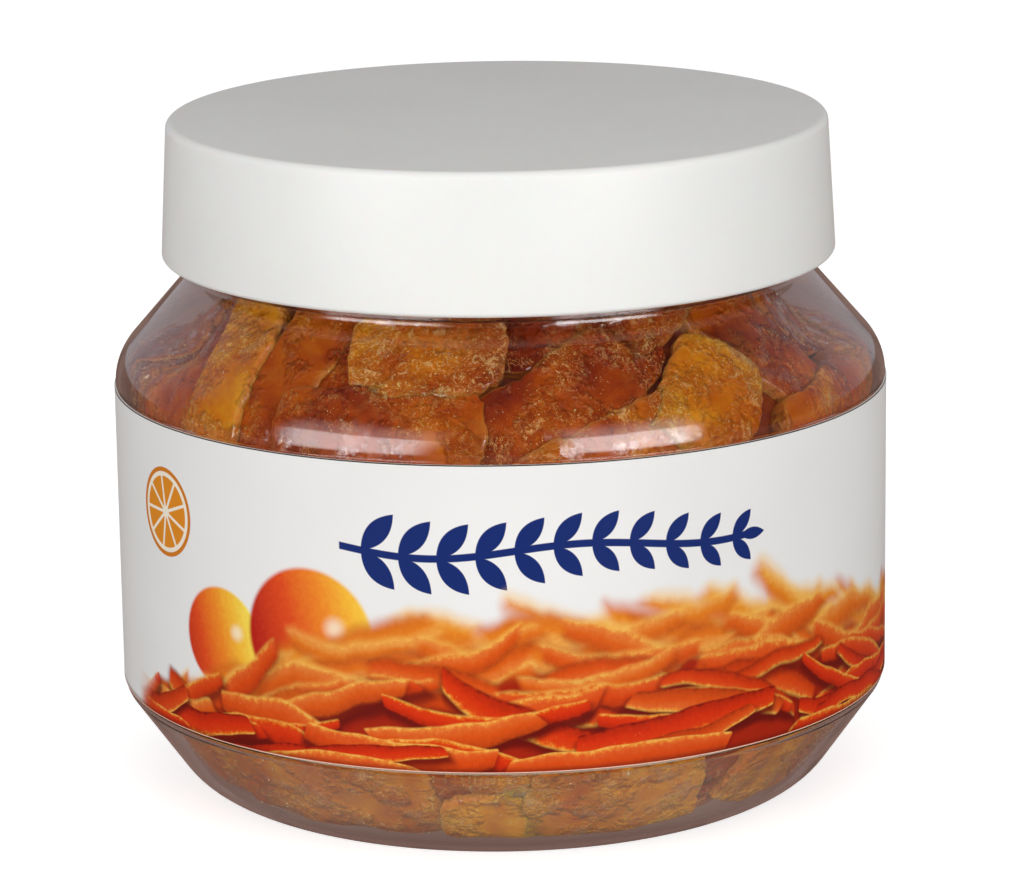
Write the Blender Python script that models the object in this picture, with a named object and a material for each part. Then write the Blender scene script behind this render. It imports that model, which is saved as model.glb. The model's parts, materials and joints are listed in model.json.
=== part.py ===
# Jar of candied orange peel: a clear screw-neck jar, its white cap, a wrap label, and the peel that fills it.
# Metres, +Z up. The jar's axis is Z, it stands on z = 0, and its front faces -Y.

import math
import random
from collections import namedtuple

import bmesh
import bpy
from mathutils import Vector, noise

MM = 0.001
SEED = 17

# Jar body, outer sizes
CORNER_RADIUS_LOW = 48.9 * MM
CORNER_HEIGHT_LOW = 13.4 * MM
CORNER_FILLET = 1.9 * MM
BASE_RADIUS = 39.5 * MM
BASE_FILLET = 9.0 * MM
STANDING_RING_INNER = 31.4 * MM
PUSH_UP = 3.2 * MM
PUSH_UP_LIP = 0.9 * MM
PUSH_UP_MARGIN = 1.2 * MM
SHOULDER_HEIGHT = 55.1 * MM
SHOULDER_FILLET = 7.4 * MM
NECK_RADIUS = 39.0 * MM
NECK_HEIGHT = 66.45 * MM
NECK_FILLET = 1.0 * MM
RIM_HEIGHT = 83.7 * MM
RIM_ROUND = 0.4 * MM
WALL = 0.9 * MM

# Recess that the label lies in
PANEL_RADIUS = 48.5 * MM
PANEL_LOW = 14.1 * MM
PANEL_TOP = 52.15 * MM
PANEL_STEP = 0.2 * MM

# Bead round the neck, just under the cap
BEAD_HEIGHT = 67.65 * MM
BEAD_HALF = 0.7 * MM
BEAD_RADIUS = 39.9 * MM
BEAD_FLAT = 0.55

# Thread lugs, the same rule on neck and cap
LUG_COUNT = 4
LUG_ARC = math.radians(66.0)
LUG_RISE = 2.0 * MM
LUG_HALF = 0.8 * MM
LUG_FLAT = 0.4
LUG_END = 0.45
LUG_SIDES = 5
LUG_EMBED = 0.35 * MM
NECK_LUG_HEIGHT = 74.4 * MM
NECK_LUG_PROUD = 1.0 * MM
CAP_LUG_HEIGHT = 71.6 * MM
CAP_LUG_PROUD = 1.5 * MM
CAP_LUG_TURN = math.radians(12.0)

# Cap
CAP_TOP = 85.5 * MM
CAP_BOTTOM = 68.2 * MM
CAP_RADIUS_TOP = 41.6 * MM
CAP_RADIUS_BOTTOM = 42.6 * MM
CAP_EDGE_TOP = 1.0 * MM
CAP_EDGE_BOTTOM = 0.55 * MM
CAP_INNER_RADIUS = 41.35 * MM
CAP_TOP_WALL = 1.4 * MM
CAP_INNER_TOP_RADIUS = 41.0 * MM
CAP_INNER_FILLET = 0.8 * MM

# Label, a thin sleeve in the panel
LABEL_INNER = 48.80 * MM
LABEL_OUTER = 49.05 * MM
LABEL_LOW = 14.4 * MM
LABEL_TOP = 52.0 * MM

# Peel: the surface that the outermost pieces lie on, a little inside the jar's inner wall
PACK_FLOOR_MIDDLE = 4.9 * MM
PACK_FLOOR_MID_RADIUS = 20.0 * MM
PACK_FLOOR_MID_HEIGHT = 4.4 * MM
PACK_FLOOR_EDGE = 1.6 * MM
PACK_BASE_RADIUS = 38.6 * MM
PACK_CORNER_RADIUS = 47.3 * MM
PACK_CORNER_HEIGHT = 13.9 * MM
PACK_SHOULDER_HEIGHT = 54.2 * MM
PACK_NECK_RADIUS = 37.2 * MM
PACK_NECK_HEIGHT = 65.75 * MM
PACK_TOP = 80.5 * MM
PACK_BASE_FILLET = 7.4 * MM
PACK_CORNER_FILLET = 3.0 * MM
PACK_SHOULDER_FILLET = 8.0 * MM
PACK_NECK_FILLET = 2.0 * MM
PACK_SPACING = 1.0 * MM
PACK_SMALLEST_RADIUS = 8.0 * MM
AXIS_CLEARANCE = 2.0 * MM
TRAVEL_END = 0.0001 * MM

# Room that is left between peel and wall, high up at the jar's sides and back
ROOM_DEPTH = 3.6 * MM
ROOM_ANGLES = (math.radians(58.0), math.radians(74.0))
ROOM_HEIGHTS = (54.5 * MM, 60.5 * MM)

CORE_DEPTH = 3.0 * MM
CORE_SEGMENTS = 26
CORE_STEP = 8.0 * MM
CORE_BUMP = 1.1 * MM
CORE_BUMP_SIZE = 11.0 * MM
CORE_TOP_HEIGHT = 73.0 * MM
CORE_TOP_RADII = (25.0 * MM, 12.0 * MM)
CORE_MIDDLE_HEIGHT = 33.0 * MM
TOP_PEEL_HEIGHT = 75.4 * MM
TOP_PEEL_SLOPE = 0.10
PEEL_THICKNESS = 3.6 * MM
PEEL_ALONG = 4
PEEL_ACROSS = 2
PEEL_END_NARROW = 0.22
PEEL_END_ROUND = 0.08
PEEL_TAPER = 0.16
PEEL_BOW = 0.12
PEEL_LIFT = 0.9 * MM
PEEL_CROWN = 0.35 * MM

SEGMENTS = 56
SMOOTH_ANGLE = math.radians(40.0)
WELD = 0.02 * MM
SMALLEST_ROUNDING = 0.3 * MM

# A piece of peel on the packing surface, in degrees and millimetres: its angle round the jar from the front,
# towards +X, its middle's height, the tilt of its length from level, its length and width, and how deep it lies.
Peel = namedtuple("Peel", "angle height tilt length width depth")

# Pieces spread evenly between two angles, each with its other sizes drawn between a lowest and a highest.
Ring = namedtuple("Ring", "first last count heights tilts lengths widths depths")

# The pieces that show at the front of the shoulder, and below the label
FRONT_SHOULDER = (
    Peel(-51.5, 57, 98, 36, 9.5, 0.0),
    Peel(-37, 59, 74, 28, 10.0, 1.0),
    Peel(-27, 61, 66, 24, 8.0, 1.6),
    Peel(-13, 62.5, 4, 19, 11.0, 0.0),
    Peel(-19, 54, 2, 27, 12.0, 0.2),
    Peel(8, 58, 34, 34, 12.0, 0.9),
    Peel(5, 66, 8, 30, 9.0, 1.5),
    Peel(18, 52.5, 22, 30, 9.0, 0.2),
    Peel(34, 56.5, 52, 17, 13.0, 0.0),
    Peel(27, 65, 24, 20, 8.0, 1.4),
    Peel(52, 60, 118, 26, 12.0, 1.4),
    Peel(64, 52, 12, 28, 13.0, 0.5),
    Peel(-63, 55, 70, 26, 13.0, 0.9),
)
FRONT_LOW = (
    Peel(-30, 7, -3, 29, 18.0, 0.3),
    Peel(-54, 8, 12, 24, 17.0, 0.6),
    Peel(-9, 7, 84, 20, 10.0, 1.6),
    Peel(-1, 5, 20, 14, 12.0, 0.2),
    Peel(1, 12, -8, 16, 8.0, 0.4),
    Peel(18, 8, 6, 23, 17.0, 0.0),
    Peel(37, 8, 76, 20, 12.0, 1.2),
    Peel(52, 9, -14, 20, 15.0, 0.3),
)

# The pieces round the rest of the jar, and those on top of the heap, whose heights are distances from the axis
BACK_SHOULDER = Ring(80, 284, 14, (54, 60), (20, 160), (24, 34), (9, 13), (0.0, 1.4))
BACK_LOW = Ring(64, 296, 12, (7, 9), (-30, 30), (20, 28), (14, 18), (0.1, 1.2))
TOPS = Ring(0, 360, 5, (14, 19), (0, 180), (22, 30), (9, 12), (0.0, 1.2))
RING_JITTER = 0.2


def clear_scene():
    for obj in list(bpy.data.objects):
        bpy.data.objects.remove(obj, do_unlink=True)
    for mesh in list(bpy.data.meshes):
        bpy.data.meshes.remove(mesh)


def material(name, color, roughness, transmission=0.0, subsurface=0.0):
    mat = bpy.data.materials.new(name)
    mat.use_nodes = True
    shader = mat.node_tree.nodes["Principled BSDF"]
    shader.inputs["Base Color"].default_value = (*color, 1.0)
    shader.inputs["Roughness"].default_value = roughness
    shader.inputs["Metallic"].default_value = 0.0
    shader.inputs["Transmission Weight"].default_value = transmission
    shader.inputs["Subsurface Weight"].default_value = subsurface
    return mat


def link_mesh(name, bm, mat=None):
    mesh = bpy.data.meshes.new(name)
    bm.to_mesh(mesh)
    bm.free()
    obj = bpy.data.objects.new(name, mesh)
    bpy.context.scene.collection.objects.link(obj)
    if mat:
        mesh.materials.append(mat)
    return obj


def smooth(obj):
    obj.data.shade_smooth()
    obj.data.set_sharp_from_angle(angle=SMOOTH_ANGLE)


# Outlines, as lists of (radius, height)

def rounded(before, corner, after, radius, steps):
    """Points of the arc that rounds a corner, from its first tangent point to its second."""
    a, b, c = Vector(before), Vector(corner), Vector(after)
    first = (a - b).normalized()
    second = (c - b).normalized()
    half = first.angle(second) / 2.0
    reach = radius / math.tan(half)
    centre = b + (first + second).normalized() * (radius / math.sin(half))
    start = b + first * reach - centre
    turn = math.pi - 2.0 * half
    side = 1.0 if first.x * second.y - first.y * second.x < 0.0 else -1.0
    points = []
    for i in range(steps + 1):
        angle = side * turn * i / steps
        x = start.x * math.cos(angle) - start.y * math.sin(angle)
        y = start.x * math.sin(angle) + start.y * math.cos(angle)
        points.append((centre.x + x, centre.y + y))
    return points


def outline(corners):
    """An open outline through corners given as (radius, height, rounding, steps)."""
    points = []
    for i, (r, z, rounding, steps) in enumerate(corners):
        if rounding and 0 < i < len(corners) - 1:
            points += rounded(corners[i - 1][:2], (r, z), corners[i + 1][:2], rounding, steps)
        else:
            points.append((r, z))
    return points


def inset(corners, distance):
    """Corners moved inwards by a wall's thickness, on the left of the way they run."""
    lines = []
    for a, b in zip(corners[:-1], corners[1:]):
        way = (Vector(b[:2]) - Vector(a[:2])).normalized()
        left = Vector((-way.y, way.x))
        lines.append((Vector(a[:2]) + left * distance, way))
    moved = [(lines[0][0].x, lines[0][0].y, 0.0, 0)]
    for i in range(1, len(corners) - 1):
        (p, u), (q, v) = lines[i - 1], lines[i]
        turn = u.x * v.y - u.y * v.x
        along = ((q - p).x * v.y - (q - p).y * v.x) / turn
        point = p + u * along
        rounding = corners[i][2] - math.copysign(distance, turn)
        moved.append((point.x, point.y, max(rounding, SMALLEST_ROUNDING), corners[i][3]))
    way = lines[-1][1]
    end = Vector(corners[-1][:2]) + Vector((-way.y, way.x)) * distance
    moved.append((end.x, end.y, 0.0, 0))
    return moved


def push_up(lift, steps=4):
    """The underside's dome, from the axis out to the standing ring."""
    points = []
    for i in range(steps + 1):
        part = i / steps
        height = PUSH_UP_LIP + (PUSH_UP - PUSH_UP_LIP) * math.cos(part * math.pi / 2.0)
        points.append((part * (STANDING_RING_INNER - PUSH_UP_MARGIN), height + lift))
    return points


def body_corners():
    """The jar's main outer corners, from the standing ring up to the rim."""
    return [
        (STANDING_RING_INNER, 0.0, 0.0, 0),
        (BASE_RADIUS, 0.0, BASE_FILLET, 4),
        (CORNER_RADIUS_LOW, CORNER_HEIGHT_LOW, CORNER_FILLET, 2),
        (CORNER_RADIUS_LOW, SHOULDER_HEIGHT, SHOULDER_FILLET, 4),
        (NECK_RADIUS, NECK_HEIGHT, NECK_FILLET, 1),
        (NECK_RADIUS, RIM_HEIGHT, 0.0, 0),
    ]


def jar_outline():
    corners = body_corners()
    outer = outline(corners[:-1] + [(NECK_RADIUS, BEAD_HEIGHT - BEAD_HALF, 0.0, 0)])
    low = [p for p in outer if p[1] < PANEL_LOW - PANEL_STEP]
    high = [p for p in outer if p[1] > PANEL_TOP + PANEL_STEP]
    panel = [
        (CORNER_RADIUS_LOW, PANEL_LOW - PANEL_STEP),
        (PANEL_RADIUS, PANEL_LOW),
        (PANEL_RADIUS, PANEL_TOP),
        (CORNER_RADIUS_LOW, PANEL_TOP + PANEL_STEP),
    ]
    bead = [
        (BEAD_RADIUS, BEAD_HEIGHT - BEAD_HALF * BEAD_FLAT),
        (BEAD_RADIUS, BEAD_HEIGHT + BEAD_HALF * BEAD_FLAT),
        (NECK_RADIUS, BEAD_HEIGHT + BEAD_HALF),
    ]
    rim = [
        (NECK_RADIUS, RIM_HEIGHT - RIM_ROUND),
        (NECK_RADIUS - RIM_ROUND, RIM_HEIGHT),
        (NECK_RADIUS - WALL, RIM_HEIGHT),
    ]
    inner = outline(inset(corners, WALL))[1:-1]
    inner.reverse()
    dome_inside = push_up(WALL)
    dome_inside.reverse()
    return push_up(0.0) + low + panel + high + bead + rim + inner + dome_inside


def cap_outline():
    corners = [
        (0.0, CAP_TOP - CAP_TOP_WALL, 0.0, 0),
        (CAP_INNER_TOP_RADIUS, CAP_TOP - CAP_TOP_WALL, CAP_INNER_FILLET, 2),
        (CAP_INNER_RADIUS, CAP_BOTTOM, 0.0, 0),
        (CAP_RADIUS_BOTTOM, CAP_BOTTOM, CAP_EDGE_BOTTOM, 2),
        (CAP_RADIUS_TOP, CAP_TOP, CAP_EDGE_TOP, 4),
        (0.0, CAP_TOP, 0.0, 0),
    ]
    return outline(corners)


def label_outline():
    return [
        (LABEL_INNER, LABEL_LOW),
        (LABEL_OUTER, LABEL_LOW),
        (LABEL_OUTER, LABEL_TOP),
        (LABEL_INNER, LABEL_TOP),
    ]


def at(angle, radius, height):
    """A point round the jar's axis, the angle counted from the front towards +X."""
    return Vector((radius * math.sin(angle), -radius * math.cos(angle), height))


def turned(name, points, mat):
    """A solid turned round Z: an outline that starts and ends on the axis, or a closed one that goes round."""
    bm = bmesh.new()
    on_axis = points[0][0] == 0.0
    step = 2.0 * math.pi / SEGMENTS
    rings = []
    for radius, height in points:
        if radius == 0.0:
            rings.append([bm.verts.new((0.0, 0.0, height))])
        else:
            rings.append([bm.verts.new(at(step * k, radius, height)) for k in range(SEGMENTS)])
    pairs = list(zip(rings[:-1], rings[1:]))
    if not on_axis:
        pairs.append((rings[-1], rings[0]))
    for low, high in pairs:
        for k in range(SEGMENTS):
            j = (k + 1) % SEGMENTS
            if len(low) == 1:
                bm.faces.new((low[0], high[j], high[k]))
            elif len(high) == 1:
                bm.faces.new((low[k], low[j], high[0]))
            else:
                bm.faces.new((low[k], low[j], high[j], high[k]))
    obj = link_mesh(name, bm, mat)
    smooth(obj)
    return obj


# Boolean unions

def fuse(obj, parts):
    """Joins a list of closed pieces to an object, in one union, and removes them."""
    group = bpy.data.collections.new(obj.name + "_parts")
    for part in parts:
        group.objects.link(part)
    union = obj.modifiers.new("Union", "BOOLEAN")
    union.operation = "UNION"
    union.operand_type = "COLLECTION"
    union.collection = group
    union.solver = "EXACT"
    graph = bpy.context.evaluated_depsgraph_get()
    result = bpy.data.meshes.new_from_object(obj.evaluated_get(graph))
    obj.modifiers.remove(union)
    old = obj.data
    obj.data = result
    result.name = obj.name
    bpy.data.meshes.remove(old)
    for part in parts:
        bpy.data.objects.remove(part, do_unlink=True)
    bpy.data.collections.remove(group)


def keep_largest(obj):
    """Drops loose scraps, and fills hollows that the union sealed."""
    bm = bmesh.new()
    bm.from_mesh(obj.data)
    bmesh.ops.triangulate(bm, faces=bm.faces)
    bmesh.ops.remove_doubles(bm, verts=bm.verts, dist=WELD)
    bmesh.ops.dissolve_degenerate(bm, edges=bm.edges, dist=WELD)
    left = set(bm.faces)
    shells = []
    while left:
        start = left.pop()
        shell = {start}
        queue = [start]
        while queue:
            pairs = [edge.link_faces for edge in queue.pop().edges if len(edge.link_faces) == 2]
            for face in (face for pair in pairs for face in pair):
                if face not in shell:
                    shell.add(face)
                    queue.append(face)
        left -= shell
        shells.append(shell)
    shells.sort(key=len, reverse=True)
    extra = [face for shell in shells[1:] for face in shell]
    bmesh.ops.delete(bm, geom=extra, context="FACES")
    bm.to_mesh(obj.data)
    bm.free()


# Thread lugs

def lug(name, start, radius, height, proud):
    """One slanting bar of thread: proud is outwards on the neck, and inwards, so negative, in the cap."""
    bm = bmesh.new()
    side = math.copysign(1.0, proud)
    rings = []
    for i in range(LUG_SIDES + 1):
        part = i / LUG_SIDES
        angle = start + LUG_ARC * part
        middle = height + LUG_RISE * part
        swell = 1.0 if 0 < i < LUG_SIDES else LUG_END
        corners = (
            (radius - side * LUG_EMBED, middle - LUG_HALF),
            (radius + proud * swell, middle - LUG_HALF * LUG_FLAT),
            (radius + proud * swell, middle + LUG_HALF * LUG_FLAT),
            (radius - side * LUG_EMBED, middle + LUG_HALF),
        )
        rings.append([bm.verts.new(at(angle, r, z)) for r, z in corners])
    for low, high in zip(rings[:-1], rings[1:]):
        for k in range(4):
            j = (k + 1) % 4
            bm.faces.new((low[k], low[j], high[j], high[k]))
    bm.faces.new(rings[0])
    bm.faces.new(list(reversed(rings[-1])))
    bmesh.ops.recalc_face_normals(bm, faces=bm.faces)
    return link_mesh(name, bm)


def thread(name, radius, height, proud, turn=0.0):
    lugs = []
    for k in range(LUG_COUNT):
        start = 2.0 * math.pi * k / LUG_COUNT + turn
        lugs.append(lug(f"{name}_lug_{k}", start, radius, height, proud))
    return lugs


# Peel

def packing_corners():
    return [
        (0.0, PACK_FLOOR_MIDDLE, 0.0, 0),
        (PACK_FLOOR_MID_RADIUS, PACK_FLOOR_MID_HEIGHT, 0.0, 0),
        (PACK_BASE_RADIUS, PACK_FLOOR_EDGE, PACK_BASE_FILLET, 6),
        (PACK_CORNER_RADIUS, PACK_CORNER_HEIGHT, PACK_CORNER_FILLET, 5),
        (PACK_CORNER_RADIUS, PACK_SHOULDER_HEIGHT, PACK_SHOULDER_FILLET, 7),
        (PACK_NECK_RADIUS, PACK_NECK_HEIGHT, PACK_NECK_FILLET, 3),
        (PACK_NECK_RADIUS, PACK_TOP, 0.0, 0),
    ]


def rise(value, low, high):
    """0 below low and 1 above high, smoothly between."""
    part = min(max((value - low) / (high - low), 0.0), 1.0)
    return part * part * (3.0 - 2.0 * part)


def room(angle, height):
    """How far the peel stands back from the wall at an angle from the front and a height."""
    round_the_side = math.acos(math.cos(angle))
    return ROOM_DEPTH * rise(round_the_side, *ROOM_ANGLES) * rise(height, *ROOM_HEIGHTS)


class Packing:
    """The surface that the peel lies on, by the distance travelled out along the floor and up the wall."""

    def __init__(self):
        raw = [Vector(p) for p in outline(packing_corners())]
        self.points = [raw[0]]
        self.travel = [0.0]
        for a, b in zip(raw[:-1], raw[1:]):
            count = max(1, round((b - a).length / PACK_SPACING))
            for i in range(1, count + 1):
                point = a.lerp(b, i / count)
                self.travel.append(self.travel[-1] + (point - self.points[-1]).length)
                self.points.append(point)

    def place(self, travel):
        """The point at a distance along the surface, and the way that points into the jar there."""
        travel = min(max(travel, 0.0), self.travel[-1] - TRAVEL_END)
        i = 0
        while self.travel[i + 1] < travel:
            i += 1
        part = (travel - self.travel[i]) / (self.travel[i + 1] - self.travel[i])
        point = self.points[i].lerp(self.points[i + 1], part)
        a = self.points[max(i - 2, 0)]
        b = self.points[min(i + 3, len(self.points) - 1)]
        way = (b - a).normalized()
        return point, Vector((-way.y, way.x))

    def travel_at(self, height):
        """The distance along the surface at a height on the wall."""
        for i, point in enumerate(self.points):
            if point.y >= height and self.travel[i] > PACK_BASE_RADIUS:
                return self.travel[i]
        return self.travel[-1]

    def point(self, angle, across, travel, depth):
        """A point by the angle, the distance across from it, the travel, and the depth into the jar."""
        surface, inwards = self.place(travel)
        turned_to = angle + across / max(surface.x, PACK_SMALLEST_RADIUS)
        spot = surface + inwards * (depth + room(turned_to, surface.y))
        return at(turned_to, max(spot.x, AXIS_CLEARANCE), spot.y)


def slab(name, peel, place, rng):
    """One piece of peel: a bent slab with worn corners, put in the jar by a function of its own flat sizes."""
    tilt = math.radians(peel.tilt)
    half_length = peel.length * MM / 2.0
    half_width = peel.width * MM / 2.0
    bow = rng.uniform(-PEEL_BOW, PEEL_BOW)
    lift = rng.uniform(0.0, PEEL_LIFT)
    tapers = (rng.uniform(0.0, PEEL_TAPER), rng.uniform(0.0, PEEL_TAPER))

    def corner(i, j, side):
        u = 2.0 * i / PEEL_ALONG - 1.0
        v = 2.0 * j / PEEL_ACROSS - 1.0
        at_end = i in (0, PEEL_ALONG)
        at_side = j in (0, PEEL_ACROSS)
        narrow = 1.0 - tapers[u > 0.0] * abs(u) - PEEL_END_NARROW * at_end
        short = 1.0 - PEEL_END_ROUND * (at_end and at_side)
        along = u * half_length * short
        over = v * half_width * narrow + bow * half_length * (1.0 - u * u)
        across = along * math.cos(tilt) - over * math.sin(tilt)
        up = along * math.sin(tilt) + over * math.cos(tilt)
        crown = PEEL_CROWN * (at_side and side == 0)
        depth = peel.depth * MM + lift * max(0.0, u) ** 2 + crown + side * PEEL_THICKNESS
        return place(across, up, depth)

    bm = bmesh.new()
    rows = range(PEEL_ALONG + 1)
    columns = range(PEEL_ACROSS + 1)
    outer, inner = [
        [[bm.verts.new(corner(i, j, side)) for j in columns] for i in rows]
        for side in (0, 1)
    ]
    for i in range(PEEL_ALONG):
        for j in range(PEEL_ACROSS):
            bm.faces.new((outer[i][j], outer[i + 1][j], outer[i + 1][j + 1], outer[i][j + 1]))
            bm.faces.new((inner[i][j], inner[i][j + 1], inner[i + 1][j + 1], inner[i + 1][j]))
    rim = [(i, 0) for i in range(PEEL_ALONG)]
    rim += [(PEEL_ALONG, j) for j in range(PEEL_ACROSS)]
    rim += [(i, PEEL_ACROSS) for i in range(PEEL_ALONG, 0, -1)]
    rim += [(0, j) for j in range(PEEL_ACROSS, 0, -1)]
    for (a, b), (c, d) in zip(rim, rim[1:] + rim[:1]):
        bm.faces.new((outer[a][b], inner[a][b], inner[c][d], outer[c][d]))
    bmesh.ops.recalc_face_normals(bm, faces=bm.faces)
    return link_mesh(name, bm)


def wall_slab(name, peel, packing, rng):
    """A piece that lies against the jar's wall."""
    angle = math.radians(peel.angle)
    middle = packing.travel_at(peel.height * MM)

    def place(across, up, depth):
        return packing.point(angle, across, middle + up, depth)

    return slab(name, peel, place, rng)


def top_slab(name, peel, rng):
    """A piece that lies on top of the heap: its height is how far it lies from the axis."""
    middle = at(math.radians(peel.angle), peel.height * MM, TOP_PEEL_HEIGHT)
    slope = rng.uniform(-TOP_PEEL_SLOPE, TOP_PEEL_SLOPE)

    def place(across, up, depth):
        return middle + Vector((across, up, across * slope - depth))

    return slab(name, peel, place, rng)


def ring_of_peels(rng, ring):
    """The pieces of a ring."""
    peels = []
    for k in range(ring.count):
        part = (k + 0.5 + rng.uniform(-RING_JITTER, RING_JITTER)) / ring.count
        sizes = [rng.uniform(*span) for span in ring[3:]]
        peels.append(Peel(ring.first + (ring.last - ring.first) * part, *sizes))
    return peels


def core(packing, mat):
    """The heap's middle, a turned form with uneven sides, a few millimetres inside the packing surface."""
    bm = bmesh.new()
    angles = [2.0 * math.pi * k / CORE_SEGMENTS for k in range(CORE_SEGMENTS)]
    circles = []
    travel = CORE_STEP
    while travel < packing.travel_at(CORE_TOP_HEIGHT):
        circles.append([packing.point(angle, 0.0, travel, CORE_DEPTH) for angle in angles])
        travel += CORE_STEP
    circles += [[at(angle, radius, CORE_TOP_HEIGHT) for angle in angles] for radius in CORE_TOP_RADII]
    middle = Vector((0.0, 0.0, CORE_MIDDLE_HEIGHT))
    rings = []
    for circle in circles:
        ring = []
        for place in circle:
            bump = noise.noise(place / CORE_BUMP_SIZE) * CORE_BUMP
            ring.append(bm.verts.new(place + (place - middle).normalized() * bump))
        rings.append(ring)
    for low, high in zip(rings[:-1], rings[1:]):
        for k in range(CORE_SEGMENTS):
            j = (k + 1) % CORE_SEGMENTS
            bm.faces.new((low[k], low[j], high[j], high[k]))
    bottom = bm.verts.new((0.0, 0.0, PACK_FLOOR_MIDDLE + CORE_DEPTH))
    top = bm.verts.new((0.0, 0.0, CORE_TOP_HEIGHT))
    for k in range(CORE_SEGMENTS):
        j = (k + 1) % CORE_SEGMENTS
        bm.faces.new((bottom, rings[0][j], rings[0][k]))
        bm.faces.new((rings[-1][k], rings[-1][j], top))
    bmesh.ops.triangulate(bm, faces=bm.faces)
    bmesh.ops.recalc_face_normals(bm, faces=bm.faces)
    return link_mesh("peel_heap", bm, mat)


def peel_heap(mat):
    rng = random.Random(SEED)
    packing = Packing()
    peels = list(FRONT_SHOULDER)
    peels += ring_of_peels(rng, BACK_SHOULDER)
    peels += list(FRONT_LOW)
    peels += ring_of_peels(rng, BACK_LOW)
    tops = ring_of_peels(rng, TOPS)
    heap = core(packing, mat)
    slabs = [wall_slab(f"peel_{k}", peel, packing, rng) for k, peel in enumerate(peels)]
    slabs += [top_slab(f"top_peel_{k}", peel, rng) for k, peel in enumerate(tops)]
    fuse(heap, slabs)
    keep_largest(heap)
    smooth(heap)


def build():
    clear_scene()
    clear_plastic = material("clear_plastic", (0.93, 0.93, 0.95), 0.06, transmission=0.95)
    white_plastic = material("white_plastic", (0.86, 0.86, 0.84), 0.42)
    printed_film = material("printed_film", (0.84, 0.82, 0.80), 0.34)
    candied_peel = material("candied_peel", (0.62, 0.22, 0.03), 0.3, subsurface=0.4)

    jar = turned("jar", jar_outline(), clear_plastic)
    fuse(jar, thread("neck", NECK_RADIUS, NECK_LUG_HEIGHT, NECK_LUG_PROUD))
    smooth(jar)

    cap = turned("cap", cap_outline(), white_plastic)
    fuse(cap, thread("cap", CAP_INNER_RADIUS, CAP_LUG_HEIGHT, -CAP_LUG_PROUD, CAP_LUG_TURN))
    smooth(cap)

    turned("label", label_outline(), printed_film)
    peel_heap(candied_peel)


build()
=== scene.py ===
# Looks of a shut jar of candied orange peel: clear jar, white cap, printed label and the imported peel.
# Metres, +Z up. The jar's axis is Z, it stands on z = 0, and its front faces -Y.

import json
import math
import random
from collections import namedtuple

import bmesh
import bpy
from mathutils import Matrix, Vector, noise

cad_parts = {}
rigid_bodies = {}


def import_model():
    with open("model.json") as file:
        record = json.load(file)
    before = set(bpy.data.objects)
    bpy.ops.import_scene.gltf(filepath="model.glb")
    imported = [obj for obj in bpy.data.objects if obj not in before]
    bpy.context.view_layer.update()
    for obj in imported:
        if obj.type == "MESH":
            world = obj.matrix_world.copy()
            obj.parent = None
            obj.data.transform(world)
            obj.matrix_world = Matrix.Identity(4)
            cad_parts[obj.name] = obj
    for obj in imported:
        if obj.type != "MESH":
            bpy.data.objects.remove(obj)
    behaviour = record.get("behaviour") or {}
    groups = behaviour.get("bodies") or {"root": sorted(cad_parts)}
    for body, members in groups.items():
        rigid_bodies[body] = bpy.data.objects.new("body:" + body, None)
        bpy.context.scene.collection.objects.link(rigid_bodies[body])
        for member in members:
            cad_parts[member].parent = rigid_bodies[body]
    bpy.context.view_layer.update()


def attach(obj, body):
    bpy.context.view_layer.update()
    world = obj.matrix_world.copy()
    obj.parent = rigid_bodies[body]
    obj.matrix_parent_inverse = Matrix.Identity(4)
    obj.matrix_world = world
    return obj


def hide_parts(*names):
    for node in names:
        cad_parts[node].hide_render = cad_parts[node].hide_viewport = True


MM = 0.001
SEED = 17

# Jar body, outer sizes
CORNER_RADIUS_LOW = 48.9 * MM
CORNER_HEIGHT_LOW = 13.4 * MM
CORNER_FILLET = 1.9 * MM
BASE_RADIUS = 39.5 * MM
BASE_FILLET = 9.0 * MM
STANDING_RING_INNER = 31.4 * MM
PUSH_UP = 3.2 * MM
PUSH_UP_LIP = 0.9 * MM
PUSH_UP_MARGIN = 1.2 * MM
SHOULDER_HEIGHT = 55.1 * MM
SHOULDER_FILLET = 7.4 * MM
NECK_RADIUS = 39.0 * MM
NECK_HEIGHT = 66.45 * MM
NECK_FILLET = 1.0 * MM
RIM_HEIGHT = 83.7 * MM
RIM_ROUND = 0.4 * MM
WALL = 0.55 * MM

# Recess that the label lies in
PANEL_RADIUS = 48.7 * MM
PANEL_LOW = 14.1 * MM
PANEL_TOP = 52.15 * MM
PANEL_STEP = 0.2 * MM

# Bead round the neck, just under the cap
BEAD_HEIGHT = 67.65 * MM
BEAD_HALF = 0.7 * MM
BEAD_RADIUS = 39.9 * MM

# Thread lugs, the same rule on neck and cap
LUG_COUNT = 4
LUG_ARC = math.radians(66.0)
LUG_RISE = 2.0 * MM
LUG_HALF = 0.8 * MM
LUG_FLAT = 0.4
LUG_END = 0.45
LUG_SIDES = 18
LUG_EMBED = 0.35 * MM
NECK_LUG_HEIGHT = 74.4 * MM
NECK_LUG_PROUD = 1.0 * MM
CAP_LUG_HEIGHT = 71.6 * MM
CAP_LUG_PROUD = 1.5 * MM
CAP_LUG_TURN = math.radians(12.0)

# Cap
CAP_TOP = 85.5 * MM
CAP_BOTTOM = 68.2 * MM
CAP_RADIUS_TOP = 41.6 * MM
CAP_RADIUS_BOTTOM = 42.6 * MM
CAP_EDGE_TOP = 1.0 * MM
CAP_EDGE_BOTTOM = 0.55 * MM
CAP_INNER_RADIUS = 41.35 * MM
CAP_TOP_WALL = 1.4 * MM
CAP_INNER_TOP_RADIUS = 41.0 * MM
CAP_INNER_FILLET = 0.8 * MM

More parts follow.
